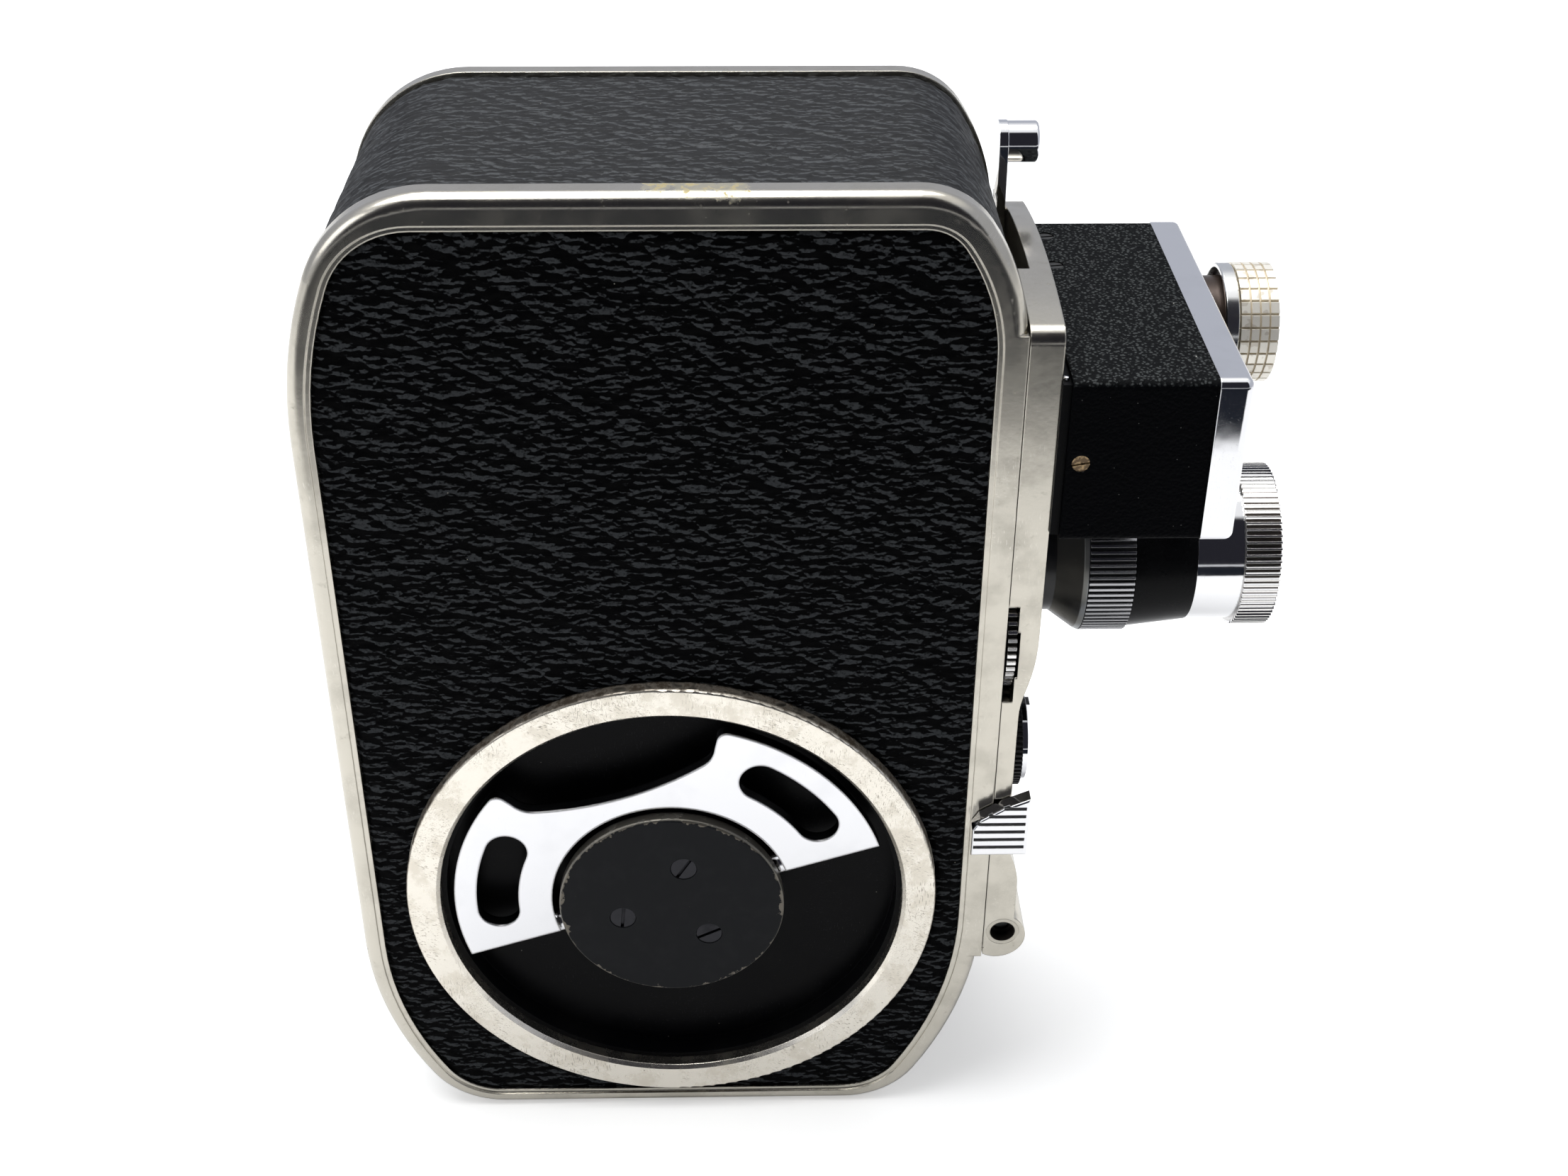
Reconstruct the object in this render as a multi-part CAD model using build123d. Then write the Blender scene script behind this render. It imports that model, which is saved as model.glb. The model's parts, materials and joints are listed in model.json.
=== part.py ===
from build123d import *
import os
from math import acos, atan2, cos, degrees, hypot, pi, radians, sin

# Pocket spring-wound cine camera for double-8 film. Millimetres.
# +X points out of the taking lens, +Y towards the film door, +Z up.
# The origin is the mouth of the tripod thread, in the plane the camera stands on.

# ---------------------------------------------------------------- driving dimensions
BODY_REAR, BODY_FRONT = -38.2, 38.2
BODY_HEIGHT = 125.8
HALF_WIDTH = 20.0            # to the faces of the two side covers
COVER_DEPTH = 3.2            # how far each cover wraps on to the top
WALL = 2.2
LEATHER = 0.5                # thickness of the leather covering
RIM_STEP = 0.3               # the rims stand this much above the leather
WEB_LOW, WEB_HIGH = -1.2, 0.8    # wall between clockwork and film chamber

# Corners in the order lower front, upper front, upper rear, lower rear:
# radius of the long arc, angle it turns, radius of the short arc that finishes the corner.
BODY_CORNERS = [(52.6, 31, 10.6), (23, 35, 9), (52.6, 21, 14), (44.6, 31, 10.6)]
PANEL_CORNERS = [(50, 31, 8), (21, 35, 5), (50, 21, 9.5), (42, 31, 8)]
PANEL_REAR, PANEL_FRONT, PANEL_LOW, PANEL_HIGH = -35.6, 35.1, 2.5, 122.0
JOINT_LOW, JOINT_HIGH = 25.5, 110.5      # flat seat of the front plate

WINDER_Z = 35.5
WINDER_RING_R, WINDER_RING_BORE = 32.0, 27.96
WINDER_FACE = -20.9
KEY_TILT = 18.6
KEY_R, KEY_BORE = 26.3, 14.5
KEY_BACK, KEY_FACE = 18.8, 20.4          # distances out from the camera's centre plane
HINGE_OUT = 18.3
CAP_R = 13.6

MODULE = 0.6
BARREL_TEETH, CENTRE_PINION_TEETH, CENTRE_TEETH = 80, 16, 50
SMALL_PINION_TEETH, TAKE_UP_TEETH = 10, 20
TAKE_UP = (-9.0, 33.0)
SUPPLY = (-8.0, 92.0)
SPOOL_R = 25.1               # 25-foot spool

LENS_Y, LENS_Z = 4.5, 70.7
SHUTTER_Y, SHUTTER_Z = -4.0, 66.8
FINDER_Y, FINDER_Z = 12.5, 96.7
EYE_Y = -8.5
EYE_GLASS = BODY_REAR + 0.8              # back face of the eye lens

PLATE_BACK = BODY_FRONT + 0.1
PLATE_FACE = 41.9
BOX_REAR, BOX_FRONT, BEZEL_FRONT = 42.9, 58.0, 61.6
BOX_HALF, BOX_LOW, BOX_HIGH = 21.2, 86.9, 105.9

CABLE_X, CABLE_Z = 40.6, 29.6
THREAD_DEPTH = 1.5                       # threaded mouth of the cable socket, ahead of its plunger
LEVER_PIVOT = (10.0, 84.0)
LEVER_KNOB = (16.0, 117.8)
SPEED_Y, SPEED_Z, SPEED_R = -12.7, 71.2, 7.6
DIAL_Y, DIAL_Z, DIAL_R = -8.0, 51.0, 6.0
LOCK_X, LOCK_Z = 2.0, 64.0
COUNTER_X, COUNTER_Z = 16.0, 100.0


# ---------------------------------------------------------------- drawing helpers
def side_slab(sketch, y_low, y_high):
    """A sketch drawn in (X, Z), solid between two Y values."""
    plane = Plane(origin=(0, y_high, 0), x_dir=(1, 0, 0), z_dir=(0, -1, 0))
    return extrude(plane * sketch, y_high - y_low)


def front_slab(sketch, x_low, x_high):
    """A sketch drawn in (Y, Z), solid between two X values."""
    plane = Plane(origin=(x_low, 0, 0), x_dir=(0, 1, 0), z_dir=(1, 0, 0))
    return extrude(plane * sketch, x_high - x_low)


def rect(a_low, a_high, b_low, b_high):
    width, height = a_high - a_low, b_high - b_low
    return Pos(a_low + width / 2, b_low + height / 2) * Rectangle(width, height)


def block(x_low, x_high, y_low, y_high, z_low, z_high):
    return side_slab(rect(x_low, x_high, z_low, z_high), y_low, y_high)


def disc_y(x, z, radius, y_low, y_high):
    return side_slab(Pos(x, z) * Circle(radius), y_low, y_high)


def disc_x(y, z, radius, x_low, x_high):
    return front_slab(Pos(y, z) * Circle(radius), x_low, x_high)


def spun(y, z, points):
    """A solid of revolution about the line through (y, z) along X, from (x, radius) points."""
    face = Polyline(*points, close=True)
    solid = revolve(make_face(face.edges()), Axis.X)
    return Pos(0, y, z) * solid


def toothed(teeth, root, tip, root_share, tip_share, phase=0.0):
    """A toothed disc: each tooth is a trapezium with the given shares of the pitch."""
    pitch = 2 * pi / teeth
    points = []
    for i in range(teeth):
        middle = radians(phase) + i * pitch
        for share, radius in ((-root_share, root), (-tip_share, tip), (tip_share, tip), (root_share, root)):
            angle = middle + share * pitch
            points.append((radius * cos(angle), radius * sin(angle)))
    return make_face(Polyline(*points, close=True).edges())


def gear(teeth, phase):
    radius = MODULE * teeth / 2
    return toothed(teeth, radius - 1.15 * MODULE, radius + 0.75 * MODULE, 0.3, 0.1, phase)


def knurled(ridges, radius, depth):
    return toothed(ridges, radius - depth, radius, 0.36, 0.2)


def mesh_phase(teeth_a, phase_a, teeth_b, bearing):
    """Phase of gear b so that it meshes with gear a, which sees it at the given bearing."""
    pitch_a, pitch_b = 360 / teeth_a, 360 / teeth_b
    offset = (phase_a - bearing) % pitch_a
    return bearing + 180 - offset * teeth_a / teeth_b + pitch_b / 2


def corner_run(corner):
    big, turn, small = corner
    a = radians(turn)
    return big * (1 - cos(a)) + small * cos(a), big * sin(a) + small * (1 - sin(a))


def outline(rear, front, low, high, corners, inset=0.0):
    """The camera's side outline: four straight sides, two tangent arcs at each corner."""
    rear, front, low, high = rear + inset, front - inset, low + inset, high - inset
    corners = [(big - inset, turn, small - inset) for big, turn, small in corners]
    lower_front, upper_front, upper_rear, lower_rear = corners
    edges = [Line((rear + corner_run(lower_rear)[0], low), (front - corner_run(lower_front)[0], low))]

    def bend(corner, short_first):
        big, turn, small = corner
        arcs = [(small, 90 - turn), (big, turn)] if short_first else [(big, turn), (small, 90 - turn)]
        for radius, angle in arcs:
            edges.append(JernArc(edges[-1] @ 1, edges[-1] % 1, radius, angle))

    bend(lower_front, True)
    edges.append(Line(edges[-1] @ 1, (front, high - corner_run(upper_front)[1])))
    bend(upper_front, False)
    edges.append(Line(edges[-1] @ 1, (rear + corner_run(upper_rear)[0], high)))
    bend(upper_rear, True)
    edges.append(Line(edges[-1] @ 1, (rear, low + corner_run(lower_rear)[1])))
    bend(lower_rear, False)
    return make_face(edges)


def body_outline(inset=0.0):
    return outline(BODY_REAR, BODY_FRONT, 0, BODY_HEIGHT, BODY_CORNERS, inset)


def panel_outline(inset=0.0):
    return outline(PANEL_REAR, PANEL_FRONT, PANEL_LOW, PANEL_HIGH, PANEL_CORNERS, inset)


def save(name, solid):
    export_step(solid, f"parts/{name}.step")


# ---------------------------------------------------------------- positions of the train
MESH = MODULE / 2
CENTRE = (0.0, WINDER_Z + MESH * (BARREL_TEETH + CENTRE_PINION_TEETH))
ARM = MESH * (CENTRE_TEETH + SMALL_PINION_TEETH)


def around_centre(bearing, distance):
    a = radians(bearing)
    return CENTRE[0] + distance * cos(a), CENTRE[1] + distance * sin(a)


THIRD_BEARING, GOVERNOR_BEARING = -10.0, 150.0
THIRD = around_centre(THIRD_BEARING, ARM)
GOVERNOR = around_centre(GOVERNOR_BEARING, ARM)

# The idler lies where it meshes with both the centre wheel and the take-up gear.
IDLER_TEETH = TAKE_UP_TEETH
SPAN = hypot(TAKE_UP[0] - CENTRE[0], TAKE_UP[1] - CENTRE[1])
TO_IDLER = MESH * (CENTRE_TEETH + IDLER_TEETH)
FROM_IDLER = MESH * (IDLER_TEETH + TAKE_UP_TEETH)
SPAN_BEARING = degrees(atan2(TAKE_UP[1] - CENTRE[1], TAKE_UP[0] - CENTRE[0]))
IDLER_LEAN = degrees(acos((TO_IDLER**2 + SPAN**2 - FROM_IDLER**2) / (2 * TO_IDLER * SPAN)))
IDLER_BEARING = SPAN_BEARING - IDLER_LEAN
IDLER = around_centre(IDLER_BEARING, TO_IDLER)
WHEEL_LOW, WHEEL_HIGH = -2.7, -1.6       # layer of the slow wheels, next to the web
DRIVE_LOW, DRIVE_HIGH = -14.4, -13.0     # layer of the barrel's teeth
BRIDGE_LOW, BRIDGE_HIGH = -15.6, -14.8
PIVOT_R, PIVOT_CLEARANCE = 0.8, 0.05
BEARINGS = [CENTRE, THIRD, GOVERNOR]


# ---------------------------------------------------------------- body castings and covering
def main_casting():
    depth = HALF_WIDTH - COVER_DEPTH
    skin = LEATHER + RIM_STEP
    shell = side_slab(body_outline(skin) - body_outline(skin + WALL), -depth, depth)
    seat_wall = block(BODY_FRONT - 3, BODY_FRONT, -depth, depth, JOINT_LOW, JOINT_HIGH + 0.8)
    web = side_slab(body_outline(skin + WALL / 2), WEB_LOW, WEB_HIGH)
    solid = shell + seat_wall + web
    solid -= block(29.5, BODY_FRONT - 3, WEB_LOW - 1, WEB_HIGH + 1, 53.5, 80.5)
    solid -= disc_x(LENS_Y, LENS_Z, 7.0, BODY_FRONT - 6, BODY_FRONT + 1)
    solid -= disc_x(EYE_Y, FINDER_Z, 4.6, BODY_FRONT - 6, BODY_FRONT + 1)
    solid -= disc_x(EYE_Y, FINDER_Z, 5.4, BODY_REAR - 1, BODY_REAR + 6)
    # bearings of the shutter shaft
    solid += block(23, 26, SHUTTER_Y - 3, WEB_LOW + 0.2, SHUTTER_Z - 3, SHUTTER_Z + 3)
    solid -= disc_x(SHUTTER_Y, SHUTTER_Z, 1.25, 22, BODY_FRONT - 1.2)
    # posts that carry the film gate
    for z in (59, 83):
        solid += disc_x(14.5, z, 1.8, 31.2, BODY_FRONT - 2)
    for x, z in BEARINGS + [IDLER]:
        solid -= disc_y(x, z, PIVOT_R + PIVOT_CLEARANCE, WEB_LOW - 1, WEB_HIGH + 1)
    solid -= disc_y(0, WINDER_Z, 2.05, WEB_LOW - 1, WEB_HIGH + 1)
    solid -= disc_y(*TAKE_UP, 2.05, WEB_LOW - 1, WEB_HIGH + 1)
    # fixed post of the supply spool
    solid += disc_y(*SUPPLY, 2.0, WEB_HIGH, 17.4) + disc_y(*SUPPLY, 5.0, WEB_HIGH, 1.2)
    solid -= Pos(0, 0, 3) * Cylinder(6.0, 8)
    return solid


def leather_band():
    depth = HALF_WIDTH - COVER_DEPTH
    band = body_outline(RIM_STEP) - body_outline(RIM_STEP + LEATHER)
    solid = side_slab(band, -depth + 0.05, depth - 0.05)
    solid -= block(BODY_FRONT - 6, BODY_FRONT + 1, -30, 30, JOINT_LOW - 0.3, JOINT_HIGH + 1.6)
    solid -= disc_x(EYE_Y, FINDER_Z, 7.05, BODY_REAR - 1, BODY_REAR + 3)
    solid -= Pos(0, 0, 0) * Cylinder(6.5, 6)
    return solid


def side_cover(sign):
    """Rimmed cover for one side; sign is -1 for the clockwork side, +1 for the film door."""
    outer, inner = HALF_WIDTH, HALF_WIDTH - COVER_DEPTH
    solid = side_slab(body_outline(), inner, outer)
    rim = [e for e in solid.edges() if abs(e.center().Y - outer) < 1e-3]
    solid = fillet(rim, 1.5)
    solid += block(BODY_FRONT - 5, BODY_FRONT, inner, outer, JOINT_LOW, JOINT_HIGH)
    solid -= side_slab(panel_outline(-0.6), outer - 0.25, outer + 1)
    solid -= side_slab(panel_outline(), outer - 0.9, outer + 1)
    solid -= side_slab(body_outline(WALL + 1.4), inner - 1, outer - 1.6)
    return solid if sign > 0 else mirror(solid, Plane.XZ)


def mechanism_cover():
    return side_cover(-1) - disc_y(0, WINDER_Z, 28.2, -30, 0)


def mechanism_cover_leather():
    return side_slab(panel_outline(0.05) - Pos(0, WINDER_Z) * Circle(WINDER_RING_R + 0.05), -19.6, -19.1)


def film_door():
    solid = side_cover(1)
    solid -= disc_y(LOCK_X, LOCK_Z, 2.05, 10, 30)
    solid -= disc_y(COUNTER_X, COUNTER_Z + 5.2, 2.6, 10, 30)
    return solid - disc_y(COUNTER_X, COUNTER_Z, 1.55, 10, 18.9)


def film_door_leather():
    sheet = panel_outline(0.05) - Pos(LOCK_X, LOCK_Z) * Circle(9.3)
    sheet -= Pos(COUNTER_X, COUNTER_Z + 5.2) * Circle(4.05)
    return side_slab(sheet, 19.1, 19.6)


def tripod_bush():
    bush = Pos(0, 0, 3.4) * Cylinder(5.98, 6.8)
    return bush - Pos(0, 0, 3) * Cylinder(3.1, 6)


# ---------------------------------------------------------------- winder
def winder_ring():
    ring = Pos(0, WINDER_Z) * (Circle(WINDER_RING_R) - Circle(WINDER_RING_BORE))
    solid = side_slab(ring, WINDER_FACE, -19.1)
    face = [e for e in solid.edges() if abs(e.center().Y - WINDER_FACE) < 1e-3]
    outer = [e for e in face if e.radius > 30]
    inner = [e for e in face if e.radius < 30]
    solid = fillet(outer, 0.35)
    inner = [e for e in solid.edges() if abs(e.center().Y - WINDER_FACE) < 1e-3 and e.radius < 30]
    return chamfer(inner, 0.45)


def winder_dish():
    """Shallow cup behind the key; the click turns on a post on its back."""
    solid = disc_y(0, WINDER_Z, 28.1, -19.1, -15.8)
    solid -= disc_y(0, WINDER_Z, 27.3, -30, -16.4)
    solid -= disc_y(0, WINDER_Z, 3.05, -30, 0)
    post = Pos(0, WINDER_Z) * Rot(0, 0, 8) * Pos(0, 12.4) * Circle(1.0)
    return solid + side_slab(post, -15.8, -14.6)


key_plane = Plane(
    origin=(0, 0, WINDER_Z),
    x_dir=(cos(radians(KEY_TILT)), 0, sin(radians(KEY_TILT))),
    z_dir=(0, -1, 0),
)
EAR_IN, EAR_OUT = 11.0, 16.4


def key_outline():
    """Half ring above the hinge chord, dipped in the middle, with a finger slot in each lobe."""
    half = Circle(KEY_R) - Circle(KEY_BORE)
    half = half & rect(-30, 30, 0, 30)
    dip = make_face([
        ThreePointArc((-10.4, 18.3), (0, 16.9), (10.4, 18.3)),
        TangentArc((10.4, 18.3), (12.6, 20.2), tangent=(1, 0.25)),
        Line((12.6, 20.2), (14.9, 24.0)),
        Line((14.9, 24.0), (14.9, 30)),
        Line((14.9, 30), (-14.9, 30)),
        Line((-14.9, 30), (-14.9, 24.0)),
        Line((-14.9, 24.0), (-12.6, 20.2)),
        TangentArc((-10.4, 18.3), (-12.6, 20.2), tangent=(-1, 0.25)),
    ])
    sketch = half - dip
    lobes = [v for v in sketch.vertices() if abs(abs(v.X) - 14) < 2.2 and v.Y > 20.5]
    if lobes:
        sketch = fillet(lobes, 1.2)
    for mid in (28.0, 152.0):
        arc = CenterArc((0, 0), 21.1, mid - 12.7, 25.4)
        sketch -= SlotArc(arc, 5.0)
    return sketch


def winding_key():
    plate = extrude(key_plane.offset(KEY_BACK) * key_outline(), KEY_FACE - KEY_BACK)
    solid = plate
    for side in (-1, 1):
        middle, length = side * (EAR_IN + EAR_OUT) / 2, EAR_OUT - EAR_IN
        solid += key_plane * (Pos(middle, 0, HINGE_OUT) * Rot(0, 90, 0) * Cylinder(1.4, length))
    for side in (-1, 1):
        bore = Pos(side * 12.2, 0, HINGE_OUT) * Rot(0, 90, 0) * Cylinder(0.85, 4.4)
        solid -= key_plane * bore
    return solid


def key_hinge_pins():
    pins = [Pos(side * 10.6, 0, HINGE_OUT) * Rot(0, 90, 0) * Cylinder(0.8, 6.4) for side in (-1, 1)]
    return Compound([key_plane * pin for pin in pins])


def key_hub():
    solid = disc_y(0, WINDER_Z, 10.4, -20.0, -16.6)
    solid -= disc_y(0, WINDER_Z, 3.0, -30, 0)
    for side in (-1, 1):
        solid -= key_plane * (Pos(side * 10.6, 0, HINGE_OUT) * Rot(0, 90, 0) * Cylinder(0.8, 6.4))
    for x, z in cap_screw_places():
        solid -= disc_y(x, z, 0.8, -30, -17.5)
    return solid


def cap_screw_places():
    return [(6.2 * cos(radians(a)), WINDER_Z + 6.2 * sin(radians(a))) for a in (75.5, 195.5, 315.5)]


def key_hub_cap():
    solid = disc_y(0, WINDER_Z, CAP_R, -21.5, -20.0)
    rim = [e for e in solid.edges() if abs(e.center().Y + 21.5) < 1e-3]
    solid = fillet(rim, 0.35)
    for x, z in cap_screw_places():
        solid -= disc_y(x, z, 1.6, -30, -20.7)
        solid -= disc_y(x, z, 0.8, -30, 0)
    return solid


def hub_cap_screws():
    screws = []
    for (x, z), turn in zip(cap_screw_places(), (58, 84, 27)):
        head = disc_y(x, z, 1.55, -21.42, -20.7) + disc_y(x, z, 0.8, -20.7, -17.5)
        slot = Pos(x, z) * Rot(0, 0, turn) * Rectangle(4, 0.4)
        screws.append(head - side_slab(slot, -22, -21.05))
    return Compound(screws)


def winding_arbor():
    solid = disc_y(0, WINDER_Z, 3.0, -20.0, -12.9)
    solid += disc_y(0, WINDER_Z, 3.6, -12.9, -4.6)
    solid += disc_y(0, WINDER_Z, 2.0, -4.6, 0.6)
    return solid


RATCHET_TEETH = 24


def ratchet_wheel():
    """Saw-toothed wheel that stops the arbor running back."""
    points = []
    for i in range(RATCHET_TEETH):
        a = 2 * pi * i / RATCHET_TEETH
        b = a + 2 * pi / RATCHET_TEETH * 0.92
        points += [(7.2 * cos(a), 7.2 * sin(a)), (6.3 * cos(b), 6.3 * sin(b))]
    wheel = make_face(Polyline(*points, close=True).edges()) - Circle(3.0)
    return side_slab(Pos(0, WINDER_Z) * wheel, -15.6, -14.7)


def click_pawl():
    body = Pos(0, 12.4) * Circle(1.9)
    finger = make_face(Polyline((-1.9, 12.6), (-1.6, 10.0), (-0.4, 7.5), (0.5, 7.4), (1.6, 11.2), (1.7, 12.6),
                                close=True).edges())
    sketch = Pos(0, WINDER_Z) * Rot(0, 0, 8) * ((body + finger) - Pos(0, 12.4) * Circle(1.05))
    return side_slab(sketch, -15.5, -14.75)


# ---------------------------------------------------------------- clockwork
def spring_barrel():
    solid = side_slab(Pos(0, WINDER_Z) * gear(BARREL_TEETH, 0), DRIVE_LOW, DRIVE_HIGH)
    solid += disc_y(0, WINDER_Z, 22.4, DRIVE_LOW, -4.4)
    solid -= disc_y(0, WINDER_Z, 21.4, DRIVE_HIGH, 0)
    solid -= disc_y(0, WINDER_Z, 3.05, -30, 0)
    return solid


def mainspring():
    """A flat coiled strip, built from half circles about two alternating centres."""
    step, thickness, first, halves = 0.85, 0.45, 4.4, 18
    inner, outer = [], []
    for k in range(halves):
        middle = (0, 0) if k % 2 == 0 else (step, 0)
        start = 0 if k % 2 == 0 else 180
        radius = first + k * step
        inner.append(CenterArc(middle, radius - thickness / 2, start, 180))
        outer.append(CenterArc(middle, radius + thickness / 2, start, 180))
    caps = [Line(inner[0] @ 0, outer[0] @ 0), Line(inner[-1] @ 1, outer[-1] @ 1)]
    return side_slab(Pos(0, WINDER_Z) * make_face(inner + outer + caps), -12.7, -5.0)


def arbor(place, gears):
    """An arbor along Y with pivots at both ends, and its gears as (teeth, phase, low, high)."""
    x, z = place
    solid = disc_y(x, z, PIVOT_R, BRIDGE_LOW, WEB_HIGH)
    solid += disc_y(x, z, 1.5, BRIDGE_HIGH + 0.2, WEB_LOW - 0.2)
    for teeth, phase, low, high in gears:
        solid += side_slab(Pos(x, z) * gear(teeth, phase), low, high)
    return solid


CENTRE_PINION_PHASE = mesh_phase(BARREL_TEETH, 0, CENTRE_PINION_TEETH, 90)
CENTRE_PHASE = 0.0


def centre_wheel():
    return arbor(CENTRE, [
        (CENTRE_PINION_TEETH, CENTRE_PINION_PHASE, DRIVE_LOW, DRIVE_HIGH),
        (CENTRE_TEETH, CENTRE_PHASE, WHEEL_LOW, WHEEL_HIGH),
    ])


def small_pinion_phase(bearing):
    return mesh_phase(CENTRE_TEETH, CENTRE_PHASE, SMALL_PINION_TEETH, bearing)


def governor_arbor():
    solid = arbor(GOVERNOR, [(SMALL_PINION_TEETH, small_pinion_phase(GOVERNOR_BEARING), WHEEL_LOW, WHEEL_HIGH)])
    return solid + disc_y(*GOVERNOR, 4.2, -12.0, -11.2)


def governor_weights():
    """Two curved fly-weights on the governor's disc."""
    weights = []
    for start in (20, 200):
        sector = make_face([
            CenterArc((0, 0), 6.4, start, 130), CenterArc((0, 0), 4.4, start, 130),
            Line((6.4 * cos(radians(start)), 6.4 * sin(radians(start))),
                 (4.4 * cos(radians(start)), 4.4 * sin(radians(start)))),
            Line((6.4 * cos(radians(start + 130)), 6.4 * sin(radians(start + 130))),
                 (4.4 * cos(radians(start + 130)), 4.4 * sin(radians(start + 130)))),
        ])
        weights.append(side_slab(Pos(*GOVERNOR) * sector, -13.0, -10.2))
    return Compound(weights)


def shutter_drive_arbor():
    solid = arbor(THIRD, [(SMALL_PINION_TEETH, small_pinion_phase(THIRD_BEARING), WHEEL_LOW, WHEEL_HIGH)])
    return solid + side_slab(Pos(*THIRD) * knurled(10, 3.1, 0.6), -7.6, -3.8)


def idler_wheel():
    x, z = IDLER
    phase = mesh_phase(CENTRE_TEETH, CENTRE_PHASE, IDLER_TEETH, IDLER_BEARING)
    solid = side_slab(Pos(x, z) * gear(IDLER_TEETH, phase), WHEEL_LOW, WHEEL_HIGH)
    return solid + disc_y(x, z, PIVOT_R, -3.6, WEB_HIGH)


def take_up_spindle():
    idler_phase = mesh_phase(CENTRE_TEETH, CENTRE_PHASE, IDLER_TEETH, IDLER_BEARING)
    bearing = degrees(atan2(TAKE_UP[1] - IDLER[1], TAKE_UP[0] - IDLER[0]))
    phase = mesh_phase(IDLER_TEETH, idler_phase, TAKE_UP_TEETH, bearing)
    x, z = TAKE_UP
    solid = side_slab(Pos(x, z) * gear(TAKE_UP_TEETH, phase), WHEEL_LOW, WHEEL_HIGH)
    solid += disc_y(x, z, 2.0, WHEEL_LOW, 17.4)
    for turn in (0, 120, 240):
        spline = Pos(x, z) * Rot(0, 0, turn) * Pos(2.2, 0) * Rectangle(1.4, 1.2)
        solid += side_slab(spline, 1.4, 16.8)
    return solid


def take_up_spool():
    x, z = TAKE_UP
    bore = Circle(3.2)
    flange = Circle(SPOOL_R) - bore
    for i in range(3):
        flange -= Rot(0, 0, 120 * i + 60) * Pos(18.5, 0) * Circle(3.2)
    solid = side_slab(Pos(x, z) * flange, 1.2, 1.6) + side_slab(Pos(x, z) * flange, 17.6, 18.0)
    solid += side_slab(Pos(x, z) * (Circle(14.5) - bore), 1.2, 18.0)
    return solid


def mechanism_bridge():
    """Plate on three pillars that carries the outer ends of the arbors."""
    solid = side_slab(rect(-23, 25, 60.5, 85.5), BRIDGE_LOW, BRIDGE_HIGH)
    for x, z in ((-20, 63), (22, 79), (0, 83.3)):
        solid += disc_y(x, z, 1.9, BRIDGE_LOW, WEB_LOW)
    for x, z in BEARINGS:
        solid -= disc_y(x, z, PIVOT_R + PIVOT_CLEARANCE, BRIDGE_LOW - 1, BRIDGE_HIGH + 1)
    return solid


# ---------------------------------------------------------------- shutter, claw and gate
def shutter_shaft():
    solid = disc_x(SHUTTER_Y, SHUTTER_Z, 1.2, 15.8, BODY_FRONT - 1.4)
    pinion = Pos(SHUTTER_Y, SHUTTER_Z) * knurled(10, 2.4, 0.5)
    return solid + front_slab(pinion, 16.3, 19.2)


def shutter_disc():
    blade = make_face([
        CenterArc((0, 0), 12.1, 35, 190),
        Line((12.1 * cos(radians(225)), 12.1 * sin(radians(225))), (0, 0)),
        Line((0, 0), (12.1 * cos(radians(35)), 12.1 * sin(radians(35)))),
    ])
    sketch = (blade + Circle(3.4)) - Circle(1.2)
    return front_slab(Pos(SHUTTER_Y, SHUTTER_Z) * sketch, 33.2, 33.8)


def gate_plate():
    solid = block(30.0, 31.2, 1.0, 16.9, 56, 86)
    solid -= block(29, 32, LENS_Y - 2.4, LENS_Y + 2.4, LENS_Z - 1.75, LENS_Z + 1.75)
    solid -= block(29, 32, 1.2, 2.6, 60, 68.5)
    return solid


def claw():
    solid = block(31.5, 32.5, 1.3, 2.5, 61, 79)
    return solid + block(29.6, 31.5, 1.5, 2.3, 66.3, 67.3)


def pressure_plate():
    solid = block(28.0, 29.2, 3.0, 16.6, 60, 82)
    solid += block(27.2, 28.0, 8.0, 12.0, 63, 79)
    return solid


# ---------------------------------------------------------------- film door fittings
def door_lock_knob():
    """Turned disc with a finger bar, its spindle and the locking bar inside the door."""
    solid = disc_y(LOCK_X, LOCK_Z, 9.0, 19.7, 20.4)
    solid += side_slab(Pos(LOCK_X, LOCK_Z) * knurled(48, 9.2, 0.35), 19.7, 20.3)
    solid += block(LOCK_X - 8.2, LOCK_X + 8.2, 20.4, 21.2, LOCK_Z - 1.3, LOCK_Z + 1.3)
    solid += disc_y(LOCK_X, LOCK_Z, 2.0, 17.0, 19.7)
    solid += block(LOCK_X - 7.5, LOCK_X + 7.5, 17.0, 18.1, LOCK_Z - 2.2, LOCK_Z + 2.2)
    return solid


def counter_window():
    x, z = COUNTER_X, COUNTER_Z + 5.2
    return disc_y(x, z, 2.6, 18.6, 19.1) + disc_y(x, z, 4.0, 19.1, 19.6)


def counter_dial():
    solid = disc_y(COUNTER_X, COUNTER_Z, 8.0, 17.2, 17.7)
    return solid + disc_y(COUNTER_X, COUNTER_Z, 1.5, 16.9, 18.85)


# ---------------------------------------------------------------- front plate and its controls
def plate_section():
    """Side section of the front plate: thick head, thin waist, round lobe at the foot."""
    x = PLATE_BACK
    edges = [
        Line((x, 26.5), (x, 113)),
        Line((x, 113), (PLATE_FACE, 113)),
        Line((PLATE_FACE, 113), (PLATE_FACE, 73.5)),
        Spline((PLATE_FACE, 73.5), (x + 2.9, 67.4), (x + 2.0, 62.5), tangents=[(0, -1), (0, -1)]),
        Line((x + 2.0, 62.5), (x + 2.0, 44.5)),
        Spline((x + 2.0, 44.5), (x + 2.9, 40.8), (x + 3.6, 37.2), tangents=[(0, -1), (0, -1)]),
        Line((x + 3.6, 37.2), (x + 3.6, 34.6)),
        Line((x + 3.6, 34.6), (x, 26.5)),
    ]
    lobe = Pos(40.0, 28.9) * Circle(3.45)
    return make_face(edges) + (lobe & rect(x, 50, 20, 40)) + rect(x, x + 3.6, 28, 35)


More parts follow.
